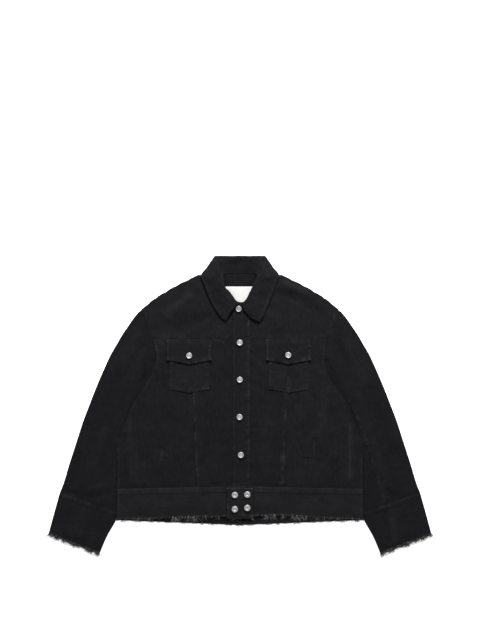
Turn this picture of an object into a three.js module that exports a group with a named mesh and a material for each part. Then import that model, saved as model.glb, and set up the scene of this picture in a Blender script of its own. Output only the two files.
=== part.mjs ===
// Black denim jacket, buttoned and laid flat on its back with the sleeves beside the body.
// Millimetres, +Z up, +Y towards the collar, +X towards the sleeve at the viewer's right.
// The back layer lies on the ground and the front layer lies on it over a thin, uneven gap.
import * as THREE from 'three';

// Cloth, seams and the space between the layers
const clothWall = 1.3;
const doubleWall = 1.9; // pieces folded double: waistband, cuffs, collar leaf
const seamGap = 0.3;
const stackGap = 0.4; // between a panel and what lies on it
const sleeveGap = 0.4; // between the body's edge and the sleeve
const centreX = 0.2; // where each front begins, beside the centre line
const closedGap = 0.35; // between front and back where the cloth folds round an edge
const openGap = 1.0; // between front and back at the hem and the cuff ends
const fullGap = 2.6; // between front and back inside the edges
const mostGap = 3.7;
const edgeRoll = 30; // how far in from an edge the front reaches its full height

// Heights along the body
const yokeSeamY = 165.4;
const bandSeamY = { centre: -202.4, side: -209.6 };
const bandHemY = { centre: -268.3, side: -275.8 };
const backHemY = { centre: -290.5, side: -276.2 };
const sideX = 302.6;
const bandSideX = 301.9;
const collarTopY = 367.6;

// Placket, waistband tab and neck label
const placket = { left: -17.9, right: 23.3, top: 249.5, bottom: -199.6, wall: 1.3 };
const tab = { left: -31.4, right: 30.6, top: -200.4, bottom: -266.8, wall: 1.6 };
const label = { left: -36, right: 31, top: 290.8, bottom: 252, wall: 0.6 };

// Chest pockets: a pointed flap over a patch, each placed by its centre line
const pockets = table(['side', 'middleX'], [
  ['l', -124.3],
  ['r', 118.9],
]);
const flap = { width: 110.8, top: 162.9, corner: 112.8, point: 102.2, wall: 1.6 };
const patch = { width: 96, top: 156, corner: 40.9, point: 31.9, wall: 1.2 };

// Metal buttons and snaps
const buttonRadius = 7.7;
const snapRadius = 8.4;
const buttonHeight = 3.6;
const buttonFacets = 14;
const buttonProfile = table(['radius', 'height'], [
  [0, 0],
  [0.9, 0],
  [1, 0.35],
  [0.9, 0.85],
  [0.74, 1],
  [0.62, 0.82],
  [0, 0.9],
]);
const buttons = table(['name', 'x', 'y'], [
  ['button_1', -3.4, 239.4],
  ['button_2', -0.7, 155.1],
  ['button_3', -0.5, 64.4],
  ['button_4', -1.0, -27.0],
  ['button_5', 2.0, -120.0],
]);
const pocketButtons = table(['name', 'x', 'y'], [
  ['pocket_button_l', -124.5, 123.2],
  ['pocket_button_r', 118.1, 124.7],
]);
const snaps = table(['name', 'x', 'y'], [
  ['snap_1', -12.5, -217.8],
  ['snap_2', 17.9, -216.6],
  ['snap_3', -12.7, -252.6],
  ['snap_4', 17.9, -249.4],
]);

// Front yoke, from the placket out to the armhole: lower edge on the yoke seam, upper edge
// round the front of the neck and along the shoulder
const frontYokeSections = table(['lowerX', 'upperX', 'upperY'], [
  [centreX, centreX, 246.5],
  [18, 20, 249.0],
  [36, 37, 266.0],
  [52, 47, 288.0],
  [72, 60, 309.0],
  [92, 86, 321.0],
  [106, 100, 321.3],
  [126, 127.4, 308.7],
  [146, 156.8, 294.0],
  [166, 182.5, 279.3],
  [184, 205.8, 264.6],
  [200, 225.4, 249.9],
  [214.6, 242.3, 236.4],
]);

// Back yoke, the same but with the shallower back neck, from the centre out
const backYokeSections = table(['lowerX', 'upperX', 'upperY'], [
  [0, 0, 291.2],
  [24, 24, 292.6],
  [44, 46, 298.6],
  [64, 68, 308.6],
  [86, 88, 321.2],
  ...frontYokeSections.slice(6).map(({ lowerX, upperX, upperY }) => [lowerX, upperX, upperY]),
]);

// Vertical front seam, from the yoke down to the waistband
const frontSeam = table(['y', 'x'], [
  [yokeSeamY, 118],
  [0, 114.3],
  [-115, 110],
  [-210, 104.4],
]);

// Armhole seam from the shoulder down to the underarm, and the sleeve's outer edge across from it
const armhole = table(['x', 'y', 'outerX', 'outerY'], [
  [242.0, 235.0, 249.0, 230.0],
  [234.0, 214.4, 262.5, 213.0],
  [224.9, 191.0, 275.5, 194.0],
  [214.9, 165.4, 289.5, 173.5],
  [208.3, 144.6, 301.0, 153.5],
  [205.8, 110.3, 318.0, 124.0],
  [218.0, 74.2, 336.0, 84.5],
  [232.8, 49.7, 349.0, 54.5],
  [262.2, 4.2, 368.5, 5.0],
  [278.3, -37.7, 385.0, -38.5],
  [294.0, -79.9, 399.5, -83.5],
  [sideX, -112.7, 409.5, -114.5],
]);
const yokeRows = 3; // rows of the armhole that lie above the yoke seam

// The sleeve beside the body, below the underarm, down to the cuff seam
const sleeveBelow = table(['x', 'y', 'outerX', 'outerY'], [
  [sideX, -150, 419.5, -145.5],
  [sideX, -190, 428.5, -176.5],
  [sideX, -228, 435.5, -197.5],
  [sideX, -260.2, 441.6, -211.6],
]);
const cuffRows = table(['x', 'y', 'outerX', 'outerY'], [
  [302.8, -260.56, 441.7, -211.93],
  [309.5, -280.0, 449.5, -240.0],
  [327.0, -321.5, 459.5, -276.0],
  [344.2, -362.2, 469.6, -313.6],
]);

// Folds of the cloth: a soft ridge (lift above 0) or trough (below 0) along a line
const bodyFolds = table(['x1', 'y1', 'x2', 'y2', 'width', 'lift'], [
  [-126, 267, -178, 222, 20, 1.0],
  [-80, 216, -154, 190, 20, -1.1],
  [113, 299, 150, 287, 18, 0.9],
  [92, 276, 196, 228, 20, -1.2],
  [-212, 140, -212, 92, 16, 0.9],
  [-198, 60, -172, -40, 24, -0.9],
  [214, 40, 196, -60, 24, 0.8],
  [-194, -106, -160, -134, 18, -0.8],
  [182, -84, 176, -128, 18, -0.8],
  [270, -50, 270, -170, 20, 1.0],
  [-270, -44, -271, -150, 20, 1.0],
  [226, -140, 240, -196, 22, -0.8],
  [-232, -150, -222, -198, 22, 0.7],
  [60, -60, 70, -170, 24, 0.6],
  [-56, 20, -66, -90, 24, -0.6],
]);
const sleeveFolds = table(['x1', 'y1', 'x2', 'y2', 'width', 'lift'], [
  [210, 104, 256, 22, 15, -1.4],
  [258, 14, 292, -70, 14, -1.2],
  [-210, 104, -256, 22, 15, -1.4],
  [-258, 14, -292, -70, 14, -1.2],
  [262, 150, 300, 60, 22, 0.9],
  [-250, 170, -290, 110, 22, 0.8],
  [-300, 70, -322, 0, 20, -0.8],
  [318, 40, 342, -46, 20, -0.8],
  [326, -92, 356, -196, 18, 1.0],
  [-330, -60, -362, -150, 22, 1.0],
  [-398, -120, -412, -186, 18, -0.8],
  [388, -110, 404, -190, 18, -0.7],
  [-322, -214, -360, -224, 16, -0.7],
  [362, -246, 380, -320, 18, 0.6],
  [-380, -240, -398, -310, 18, 0.6],
]);

// Collar stand and leaf, in sections from the front end round to the centre back: base on the
// neck seam, root where stand and leaf join, crest part of the way out, then the leaf's edge.
// `turn` says where the stand's outer face points: up (1) at the front, down (-1) at the back,
// and outward (0) where the stand folds over at the shoulder
const collarColumns = [
  'baseX', 'baseY', 'baseZ', 'rootX', 'rootY', 'rootZ', 'crestAt', 'crestZ', 'edgeX', 'edgeY', 'edgeZ',
  'turn',
];
const collarFrontLeft = table(collarColumns, [
  [-7, 250.6, 7.6, -6.0, 250.6, 9.2, 0.5, 9.6, -12.6, 245.6, 9.0, 1],
  [-14, 251.6, 7.6, -8.2, 253.0, 9.4, 0.3, 11.0, -22.5, 229.5, 8.8, 1],
  [-21, 253.2, 7.4, -11.0, 256.0, 9.7, 0.25, 12.2, -35.8, 208.0, 8.2, 1],
  [-28, 258.6, 7.0, -14.7, 260.0, 10.2, 0.22, 13.2, -45.5, 216.0, 8.0, 1],
  [-35, 267.0, 6.4, -20.0, 268.6, 10.8, 0.2, 14.4, -57.5, 232.5, 7.8, 1],
  [-41, 277.5, 5.8, -27.0, 279.0, 11.4, 0.2, 15.4, -67.9, 247.8, 7.6, 1],
]);
const collarFrontRight = table(collarColumns, [
  [6, 249.4, 7.6, 5.2, 249.0, 9.2, 0.5, 9.6, 10.6, 233.0, 9.0, 1],
  [13, 250.8, 7.6, 8.2, 251.8, 9.4, 0.3, 11.0, 27.4, 215.4, 8.8, 1],
  [20, 252.4, 7.4, 11.0, 255.4, 9.7, 0.25, 12.2, 47.4, 206.0, 8.2, 1],
  [28, 258.6, 7.0, 14.7, 260.0, 10.2, 0.22, 13.2, 56.5, 217.5, 8.0, 1],
  [35, 267.0, 6.4, 20.0, 268.6, 10.8, 0.2, 14.4, 65.5, 238.0, 7.8, 1],
  [41, 277.5, 5.8, 25.5, 279.0, 11.4, 0.2, 15.4, 73.5, 257.0, 7.6, 1],
]);
const collarRound = table(collarColumns, [
  [46.5, 289.6, 5.0, 33.0, 290.0, 12.2, 0.2, 16.6, 82.0, 280.0, 7.6, 1],
  [52, 299.0, 4.4, 37.0, 300.0, 12.8, 0.2, 17.6, 90.0, 301.5, 7.4, 1],
  [61, 311.6, 3.6, 40.0, 310.0, 13.0, 0.22, 18.4, 96.8, 322.8, 7.2, 1],
  [78, 319.0, 2.6, 41.5, 316.6, 12.2, 0.26, 18.6, 86.5, 341.0, 8.6, 0],
  [64, 308.6, 0.9, 41.0, 320.0, 10.6, 0.36, 17.6, 76.0, 356.5, 10.2, -1],
  [45, 299.6, 0.8, 37.0, 322.0, 8.6, 0.5, 15.0, 65.5, 367.2, 11.2, -1],
  [32, 295.8, 0.4, 28.0, 323.0, 7.0, 0.55, 12.2, 46.0, 368.0, 11.8, -1],
  [16, 293.0, 0.2, 14.0, 323.3, 6.2, 0.55, 10.4, 22.0, 367.6, 12.2, -1],
]);
const collarCentre = table(collarColumns, [
  [0, 292.2, 0.1, 0, 323.4, 6.0, 0.55, 10.0, 0, collarTopY, 12.4, -1],
]);

// Frayed edges: a comb of strands rooted in a narrow strip along the raw edge
const fringeStrip = 2.2;
const fringeRoot = 1.1; // width of a strand where it leaves the strip
const fringeTip = 0.35;
const fringeStray = 0.4; // how far a strand strays from its even place, in spacings
const fringes = table(['name', 'x1', 'y1', 'x2', 'y2', 'z', 'wall', 'strands', 'shortest', 'longest'], [
  ['fringe_hem_front_l', -300, -276.1, -0.4, -268.6, 2.35, 0.9, 38, 5, 13],
  ['fringe_hem_front_r', 0.4, -268.6, 300, -276.1, 2.35, 0.9, 38, 5, 13],
  ['fringe_hem_back_l', -300, -276.55, -0.4, -290.8, 0.3, 0.8, 34, 2, 6],
  ['fringe_hem_back_r', 0.4, -290.8, 300, -276.55, 0.3, 0.8, 34, 2, 6],
  ['fringe_cuff_l', -469.3, -314.1, -344.8, -362.4, 0.3, 1.6, 26, 2.5, 8],
  ['fringe_cuff_r', 344.8, -362.4, 469.3, -314.1, 0.3, 1.6, 26, 2.5, 8],
]);

const looks = {
  panel: { color: 0x1d1d1f, roughness: 0.92 },
  yoke: { color: 0x212123, roughness: 0.92 },
  band: { color: 0x202022, roughness: 0.9 },
  collar: { color: 0x212224, roughness: 0.92 },
  sleeve: { color: 0x1c1c1d, roughness: 0.92 },
  label: { color: 0xecedeb, roughness: 0.7 },
  frayed: { color: 0x3a3a3d, roughness: 0.95 },
  metal: { color: 0xc4c5c4, roughness: 0.35, metalness: 1 },
};

// Rows of a table as objects with its column names.
function table(columns, rows) {
  return rows.map((row) => Object.fromEntries(columns.map((column, i) => [column, row[i]])));
}

// More rows between those of a table, on straight lines.
function refine(rows, steps) {
  const fine = [];
  for (let i = 0; i < rows.length - 1; i += 1) {
    for (let step = 0; step < steps; step += 1) {
      fine.push(blendRows(rows[i], rows[i + 1], step / steps));
    }
  }
  fine.push(rows[rows.length - 1]);
  return fine;
}

function blendRows(a, b, t) {
  return Object.fromEntries(Object.keys(a).map((key) => [key, THREE.MathUtils.lerp(a[key], b[key], t)]));
}

// Value of one column at a given y, between the rows of a table that runs down in y.
function columnAt(rows, y, column) {
  let i = 0;
  while (i < rows.length - 2 && y < rows[i + 1].y) i += 1;
  const t = (rows[i].y - y) / (rows[i].y - rows[i + 1].y);
  return THREE.MathUtils.lerp(rows[i][column], rows[i + 1][column], t);
}

// Height y of a seam or hem that runs from its centre value to its side value.
function edgeY(edge, x) {
  return THREE.MathUtils.lerp(edge.centre, edge.side, Math.abs(x) / sideX);
}

function distanceToSegment(x, y, x1, y1, x2, y2) {
  const dx = x2 - x1;
  const dy = y2 - y1;
  const t = THREE.MathUtils.clamp(((x - x1) * dx + (y - y1) * dy) / (dx * dx + dy * dy), 0, 1);
  return Math.hypot(x - x1 - t * dx, y - y1 - t * dy);
}

function distanceToLine(x, y, points) {
  let nearest = Infinity;
  for (let i = 0; i < points.length - 1; i += 1) {
    const [a, b] = [points[i], points[i + 1]];
    nearest = Math.min(nearest, distanceToSegment(x, y, a.x, a.y, b.x, b.y));
  }
  return nearest;
}

// Edges that hold the front layer down, on the right half, each with the gap left there
const sleeveRows = [...armhole, ...sleeveBelow];
const shoulderLine = frontYokeSections.slice(6).map(({ upperX, upperY }) => ({ x: upperX, y: upperY }));
const sideLine = [{ x: sideX, y: -112.7 }, { x: sideX, y: bandHemY.side }];
const hemLine = [{ x: 0, y: bandHemY.centre }, { x: sideX, y: bandHemY.side }];
const outerLine = [...sleeveRows, ...cuffRows].map(({ outerX, outerY }) => ({ x: outerX, y: outerY }));
const innerLine = [armhole[armhole.length - 1], ...sleeveBelow, ...cuffRows];
const cuffEnd = cuffRows[cuffRows.length - 1];
const cuffLine = [{ x: cuffEnd.x, y: cuffEnd.y }, { x: cuffEnd.outerX, y: cuffEnd.outerY }];
const bodyRegion = {
  edges: [
    { line: shoulderLine, gap: closedGap },
    { line: sideLine, gap: closedGap },
    { line: hemLine, gap: openGap },
  ],
  folds: bodyFolds,
};
const sleeveRegion = {
  edges: [
    { line: outerLine, gap: closedGap },
    { line: innerLine, gap: closedGap },
    { line: cuffLine, gap: openGap },
  ],
  folds: sleeveFolds,
};

// Gap between back and front at a point: low at the edges, full inside, and shaped by the folds.
function gapAt(region, x, y) {
  let base = fullGap;
  let freedom = 1;
  for (const { line, gap } of region.edges) {
    const rise = THREE.MathUtils.smoothstep(distanceToLine(Math.abs(x), y, line), 0, edgeRoll);
    base = Math.min(base, THREE.MathUtils.lerp(gap, fullGap, rise));
    freedom = Math.min(freedom, rise);
  }
  let lift = 0;
  for (const fold of region.folds) {
    const away = distanceToSegment(x, y, fold.x1, fold.y1, fold.x2, fold.y2) / fold.width;
    lift += fold.lift * Math.exp(-away * away);
  }
  return THREE.MathUtils.clamp(base + lift * freedom, closedGap, mostGap);
}

function frontBottom(region, x, y) {
  return clothWall + gapAt(region, x, y);
}

function frontTop(x, y) {
  return frontBottom(bodyRegion, x, y) + clothWall;
}

// A body from triangles given by point numbers, turned so that its faces point out.
function bodyFrom(points, triangles) {
  let volume = 0;
  for (let i = 0; i < triangles.length; i += 3) {
    const [a, b, c] = [0, 1, 2].map((k) => points[triangles[i + k]]);
    volume += a.clone().cross(b).dot(c);
  }
  const ordered = volume < 0 ? triangles.slice().reverse() : triangles;
  const geometry = new THREE.BufferGeometry().setFromPoints(points);
  geometry.setIndex(ordered);
  geometry.computeVertexNormals();
  return geometry;
}

// Closed wall between two grids of points of the same size.
function wallBetween(lower, upper) {
  const rows = lower.length;
  const columns = lower[0].length;
  const points = [...lower.flat(), ...upper.flat()];
  const low = (i, j) => i * columns + j;
  const high = (i, j) => rows * columns + low(i, j);
  const triangles = [];
  const quad = (a, b, c, d) => triangles.push(a, b, c, a, c, d);
  for (let i = 0; i < rows - 1; i += 1) {
    for (let j = 0; j < columns - 1; j += 1) {
      quad(high(i, j), high(i, j + 1), high(i + 1, j + 1), high(i + 1, j));
      quad(low(i, j), low(i + 1, j), low(i + 1, j + 1), low(i, j + 1));
    }
    const last = columns - 1;
    quad(high(i, 0), high(i + 1, 0), low(i + 1, 0), low(i, 0));
    quad(high(i + 1, last), high(i, last), low(i, last), low(i + 1, last));
  }
  for (let j = 0; j < columns - 1; j += 1) {
    const last = rows - 1;
    quad(high(0, j + 1), high(0, j), low(0, j), low(0, j + 1));
    quad(high(last, j), high(last, j + 1), low(last, j + 1), low(last, j));
  }
  return bodyFrom(points, triangles);
}

// Cloth over sections that each run from (x1, y1) to (x2, y2) in plan, `across` steps wide.
function clothOver(sections, across, bottomAt, wall, mirror = 1) {
  const lower = [];
  const upper = [];
  for (const { x1, y1, x2, y2 } of sections) {
    const lowerRow = [];
    const upperRow = [];
    for (let j = 0; j <= across; j += 1) {
      const x = mirror * THREE.MathUtils.lerp(x1, x2, j / across);
      const y = THREE.MathUtils.lerp(y1, y2, j / across);
      const bottom = bottomAt(x, y);
      lowerRow.push(new THREE.Vector3(x, y, bottom));
      upperRow.push(new THREE.Vector3(x, y, bottom + wall));
    }
    lower.push(lowerRow);
    upper.push(upperRow);
  }
  return wallBetween(lower, upper);
}

function piece(name, geometry, look) {
  const mesh = new THREE.Mesh(geometry, new THREE.MeshStandardMaterial(look));
  mesh.name = name;
  return mesh;
}

const onGround = () => 0;
const onBody = (x, y) => frontBottom(bodyRegion, x, y);
const onSleeve = (x, y) => frontBottom(sleeveRegion, x, y);
const onFront = (x, y) => frontTop(x, y) + stackGap;
const sides = table(['side', 'mirror'], [['l', -1], ['r', 1]]);

// Rows of the full width from rows of the right half, centre row first.
function bothHalves(rows) {
  const left = rows.slice(1).reverse().map((row) => ({ ...row, lowerX: -row.lowerX, upperX: -row.upperX }));
  return [...left, ...rows];
}

// Back yoke, back panel and back of the waistband, flat on the ground.
function makeBack() {
  const group = new THREE.Group();
  const yoke = bothHalves(backYokeSections).map(({ lowerX, upperX, upperY }) => (
    { x1: lowerX, y1: yokeSeamY + seamGap, x2: upperX, y2: upperY }
  ));
  group.add(piece('back_yoke', clothOver(yoke, 2, onGround, clothWall), looks.yoke));

  const widths = [...armhole.slice(yokeRows), { x: sideX, y: -160 }];
  const rows = widths.map(({ x, y }) => ({ x1: -x, y1: y, x2: x, y2: y }));
  const seam = bandSeamY.side + seamGap;
  rows.push({ x1: -sideX, y1: seam, x2: sideX, y2: seam });
  group.add(piece('back_panel', clothOver(rows, 4, onGround, clothWall), looks.panel));

  const stations = [-bandSideX, -200, -100, 0, 100, 200, bandSideX];
  const band = stations.map((x) => ({ x1: x, y1: bandSeamY.side, x2: x, y2: edgeY(backHemY, x) }));
  group.add(piece('waistband_back', clothOver(band, 2, onGround, clothWall), looks.band));
  return group;
}

// Front yoke, front side panel and front centre panel of one half.
function makeFront(side, mirror) {
  const group = new THREE.Group();
  const yoke = refine(frontYokeSections, 2).map(({ lowerX, upperX, upperY }) => (
    { x1: lowerX, y1: yokeSeamY + seamGap, x2: upperX, y2: upperY }
  ));
  group.add(piece(`front_yoke_${side}`, clothOver(yoke, 6, onBody, clothWall, mirror), looks.yoke));

  const outer = [
    ...refine(armhole.slice(yokeRows), 2),
    { x: sideX, y: -136 },
    { x: sideX, y: -160 },
    { x: sideX, y: -184 },
  ];
  const panel = outer.map(({ x, y }) => ({
    x1: columnAt(frontSeam, y, 'x') + seamGap, y1: y, x2: x, y2: y,
  }));
  const seamX = columnAt(frontSeam, bandSeamY.centre, 'x');
  panel.push({
    x1: seamX + seamGap,
    y1: edgeY(bandSeamY, seamX) + seamGap,
    x2: sideX,
    y2: bandSeamY.side + seamGap,
  });
  group.add(piece(`front_side_${side}`, clothOver(panel, 10, onBody, clothWall, mirror), looks.panel));

  const centreRows = 17;
  const centre = [];
  for (let i = 0; i <= centreRows; i += 1) {
    const y = THREE.MathUtils.lerp(yokeSeamY, bandSeamY.centre + seamGap, i / centreRows);
    const lean = i === centreRows ? edgeY(bandSeamY, seamX) - bandSeamY.centre : 0;
    centre.push({ x1: centreX, y1: y, x2: columnAt(frontSeam, y, 'x'), y2: y + lean });
  }
  group.add(piece(`front_centre_${side}`, clothOver(centre, 6, onBody, clothWall, mirror), looks.panel));

  const bandStations = [centreX, 20, 40, 70, 104, 140, 180, 220, 262, bandSideX];
  const band = bandStations.map((x) => ({ x1: x, y1: edgeY(bandSeamY, x), x2: x, y2: edgeY(bandHemY, x) }));
  group.add(piece(`waistband_${side}`, clothOver(band, 4, onBody, doubleWall, mirror), looks.band));
  return group;
}

// Placket over the front edges, the tab over the waistband, and the label inside the neck.
function makeTrims() {
  const group = new THREE.Group();
  const strip = [];
  const stripRows = 24;
  for (let i = 0; i <= stripRows; i += 1) {
    const y = THREE.MathUtils.lerp(placket.top, placket.bottom, i / stripRows);
    strip.push({ x1: placket.left, y1: y, x2: placket.right, y2: y });
  }
  group.add(piece('placket', clothOver(strip, 2, onFront, placket.wall), looks.yoke));

  const onBand = (x, y) => onBody(x, y) + doubleWall + stackGap;
  const tabRows = 4;
  const cover = [];
  for (let i = 0; i <= tabRows; i += 1) {
    const y = THREE.MathUtils.lerp(tab.top, tab.bottom, i / tabRows);
    cover.push({ x1: tab.left, y1: y, x2: tab.right, y2: y });
  }
  group.add(piece('waistband_tab', clothOver(cover, 4, onBand, tab.wall), looks.band));

  const patchUp = [label.left, label.right].map((x) => ({ x1: x, y1: label.bottom, x2: x, y2: label.top }));
  const onYoke = () => clothWall + seamGap;
  group.add(piece('neck_label', clothOver(patchUp, 1, onYoke, label.wall), looks.label));
  return group;
}

// Pointed pocket flap over its patch. Both run from the top down to a corner and a centre point.
function makePocket(side, middleX) {
  const group = new THREE.Group();
  const outline = (shape, steps) => {
    const rows = [];
    for (let i = 0; i <= steps; i += 1) {
      const across = 2 * (i / steps) - 1;
      const x = middleX + across * shape.width / 2;
      const bottom = THREE.MathUtils.lerp(shape.point, shape.corner, Math.abs(across));
      rows.push({ x1: x, y1: shape.top, x2: x, y2: bottom });
    }
    return rows;
  };
  const onPatch = (x, y) => onFront(x, y) + patch.wall + stackGap;
  const patchBody = clothOver(outline(patch, 6), 7, onFront, patch.wall);
  const flapBody = clothOver(outline(flap, 6), 4, onPatch, flap.wall);
  group.add(piece(`pocket_patch_${side}`, patchBody, looks.panel));
  group.add(piece(`pocket_flap_${side}`, flapBody, looks.yoke));
  return group;
}

// One sleeve and its deep cuff: an upper half over an under half that lies on the ground.
function makeSleeve(side, mirror) {
  const group = new THREE.Group();
  const plan = (rows) => rows.map(({ x, y, outerX, outerY }) => (
    { x1: x + sleeveGap, y1: y, x2: outerX, y2: outerY }
  ));
  const fine = plan(refine(sleeveRows, 2));
  const coarse = plan(sleeveRows);
  const cuff = plan(cuffRows);
  const cuffFine = plan(refine(cuffRows, 2));
  group.add(piece(`sleeve_upper_${side}`, clothOver(fine, 7, onSleeve, clothWall, mirror), looks.sleeve));
  group.add(piece(`sleeve_under_${side}`, clothOver(coarse, 2, onGround, clothWall, mirror), looks.sleeve));
  group.add(piece(`cuff_upper_${side}`, clothOver(cuffFine, 8, onSleeve, doubleWall, mirror), looks.sleeve));
  group.add(piece(`cuff_under_${side}`, clothOver(cuff, 2, onGround, clothWall, mirror), looks.sleeve));
  return group;
}

// Collar: the stand rises from the neck seam to the root, and the leaf goes on from there over
// its crest. It is folded down at the front and lies open at the back, so the stand turns over
// at each shoulder.
function makeCollar() {
  const group = new THREE.Group();
  const mirrored = collarRound.map((row) => ({
    ...row, baseX: -row.baseX, rootX: -row.rootX, edgeX: -row.edgeX,
  }));
  const round = [
    ...collarFrontLeft, ...mirrored, ...collarCentre, ...collarRound.slice().reverse(),
    ...collarFrontRight.slice().reverse(),
  ];
  const standSteps = [0, 0.5, 1];
  const leafSteps = [0, 0.12, 0.25, 0.4, 0.55, 0.7, 0.85, 1];
  const stand = { inner: [], outer: [] };
  const leaf = { lower: [], upper: [] };
  for (const row of round) {
    const base = new THREE.Vector3(row.baseX, row.baseY, row.baseZ);
    const root = new THREE.Vector3(row.rootX, row.rootY, row.rootZ);
    const edge = new THREE.Vector3(row.edgeX, row.edgeY, row.edgeZ);
    const crest = root.clone().lerp(edge, row.crestAt).setZ(row.crestZ);
    const standTop = root.clone().setZ(row.rootZ - clothWall - stackGap);
    const curve = new THREE.CatmullRomCurve3([root, crest, edge]);
    const standRow = standSteps.map((t) => base.clone().lerp(standTop, t).setZ(
      THREE.MathUtils.lerp(base.z, standTop.z, t) + clothWall / 2,
    ));
    const outward = row.turn === 0
      ? new THREE.Vector3(Math.sign(row.baseX) * 0.8, 0.6, 0)
      : new THREE.Vector3(0, 0, row.turn);
    outward.multiplyScalar(clothWall / 2);
    const leafRow = leafSteps.map((t) => curve.getPoint(t));
    stand.inner.push(standRow.map((point) => point.clone().sub(outward)));
    stand.outer.push(standRow.map((point) => point.clone().add(outward)));
    leaf.lower.push(leafRow);
    leaf.upper.push(leafRow.map((point) => point.clone().setZ(point.z + doubleWall)));
  }
  group.add(piece('collar_stand', wallBetween(stand.inner, stand.outer), looks.collar));
  group.add(piece('collar_leaf', wallBetween(leaf.lower, leaf.upper), looks.collar));
  return group;
}

// Round metal button with a raised rim.
function makeButton({ name, x, y }, radius, seat) {
  const profile = buttonProfile.map((row) => new THREE.Vector2(row.radius * radius, row.height * buttonHeight));
  const geometry = new THREE.LatheGeometry(profile, buttonFacets);
  geometry.rotateX(Math.PI / 2);
  const mesh = piece(name, geometry, looks.metal);
  mesh.position.set(x, y, seat);
  return mesh;
}

// Highest point of a surface under a disc.
function seatHeight(surface, x, y, radius) {
  const around = [0, 1, 2, 3, 4, 5, 6, 7].map((i) => i * Math.PI / 4);
  const rim = around.map((angle) => surface(x + radius * Math.cos(angle), y + radius * Math.sin(angle)));
  return Math.max(surface(x, y), ...rim);
}

function makeButtons() {
  const group = new THREE.Group();
  const onPlacket = (x, y) => onFront(x, y) + placket.wall + stackGap;
  const onFlap = (x, y) => onFront(x, y) + patch.wall + stackGap + flap.wall + stackGap;
  const onTab = (x, y) => onBody(x, y) + doubleWall + stackGap + tab.wall + stackGap;
  const kinds = [
    { rows: buttons, surface: onPlacket, radius: buttonRadius },
    { rows: pocketButtons, surface: onFlap, radius: buttonRadius },
    { rows: snaps, surface: onTab, radius: snapRadius },
  ];
  for (const { rows, surface, radius } of kinds) {
    for (const row of rows) group.add(makeButton(row, radius, seatHeight(surface, row.x, row.y, radius)));
  }
  return group;
}

// Even but irregular-looking number from 0 to 1 for a strand.
function scatter(index, salt) {
  const value = Math.sin(index * 12.9898 + salt * 78.233) * 43758.5453;
  return value - Math.floor(value);
}

// One frayed edge: the strip lies along the edge and its strands point away from the garment.
function makeFringe(row, salt) {
  const length = Math.hypot(row.x2 - row.x1, row.y2 - row.y1);
  const pitch = length / row.strands;
  const outline = new THREE.Shape();
  outline.moveTo(0, 0);
  outline.lineTo(0, -fringeStrip);
  for (let i = 0; i < row.strands; i += 1) {
    const middle = (i + 0.5 + fringeStray * (scatter(i, salt) - 0.5)) * pitch;
    const reach = THREE.MathUtils.lerp(row.shortest, row.longest, scatter(i, salt + 1) ** 1.6);
    const lean = fringeStray * (scatter(i, salt + 2) - 0.5) * pitch;
    outline.lineTo(middle - fringeRoot / 2, -fringeStrip);
    outline.lineTo(middle + lean - fringeTip / 2, -fringeStrip - reach);
    outline.lineTo(middle + lean + fringeTip / 2, -fringeStrip - reach);
    outline.lineTo(middle + fringeRoot / 2, -fringeStrip);
  }
  outline.lineTo(length, -fringeStrip);
  outline.lineTo(length, 0);
  outline.closePath();
  const geometry = new THREE.ExtrudeGeometry(outline, { depth: row.wall, bevelEnabled: false });
  const mesh = piece(row.name, geometry, looks.frayed);
  mesh.rotation.z = Math.atan2(row.y2 - row.y1, row.x2 - row.x1);
  mesh.position.set(row.x1, row.y1, row.z);
  return mesh;
}

const jacket = new THREE.Group();
jacket.add(makeBack());
for (const { side, mirror } of sides) {
  jacket.add(makeFront(side, mirror));
  jacket.add(makeSleeve(side, mirror));
}
jacket.add(makeTrims());
for (const { side, middleX } of pockets) jacket.add(makePocket(side, middleX));
jacket.add(makeCollar());
jacket.add(makeButtons());
fringes.forEach((row, i) => jacket.add(makeFringe(row, 3 * i)));

// The origin is at the middle of the underside of the whole jacket.
jacket.updateMatrixWorld(true);
const bounds = new THREE.Box3().setFromObject(jacket);
const middle = bounds.getCenter(new THREE.Vector3());
jacket.position.set(-middle.x, -middle.y, -bounds.min.z);

export default jacket;
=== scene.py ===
import math

import bpy
import numpy as np
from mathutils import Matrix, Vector


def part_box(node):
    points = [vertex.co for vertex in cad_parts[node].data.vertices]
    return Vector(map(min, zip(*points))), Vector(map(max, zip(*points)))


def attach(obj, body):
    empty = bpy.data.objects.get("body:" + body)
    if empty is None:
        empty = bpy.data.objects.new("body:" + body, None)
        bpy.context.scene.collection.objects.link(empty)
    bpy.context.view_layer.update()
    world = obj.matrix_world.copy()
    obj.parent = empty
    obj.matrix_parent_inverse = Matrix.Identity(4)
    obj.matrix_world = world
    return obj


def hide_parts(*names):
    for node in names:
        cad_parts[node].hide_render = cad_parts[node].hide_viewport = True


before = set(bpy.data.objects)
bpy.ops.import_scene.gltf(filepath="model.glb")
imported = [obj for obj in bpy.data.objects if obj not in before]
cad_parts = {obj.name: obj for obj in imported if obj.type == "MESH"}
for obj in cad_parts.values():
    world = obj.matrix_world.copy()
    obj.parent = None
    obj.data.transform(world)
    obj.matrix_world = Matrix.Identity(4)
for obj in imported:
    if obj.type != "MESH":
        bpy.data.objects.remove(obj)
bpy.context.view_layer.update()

print("denim jacket: frame loaded")

# Plan sizes below are in millimetres, +x to the right of the picture and +y to the collar.
mm = 0.001
collarTop = 368.0
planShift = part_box("collar_leaf")[1][1] / mm - collarTop  # from the plan to the frame, along y

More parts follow.
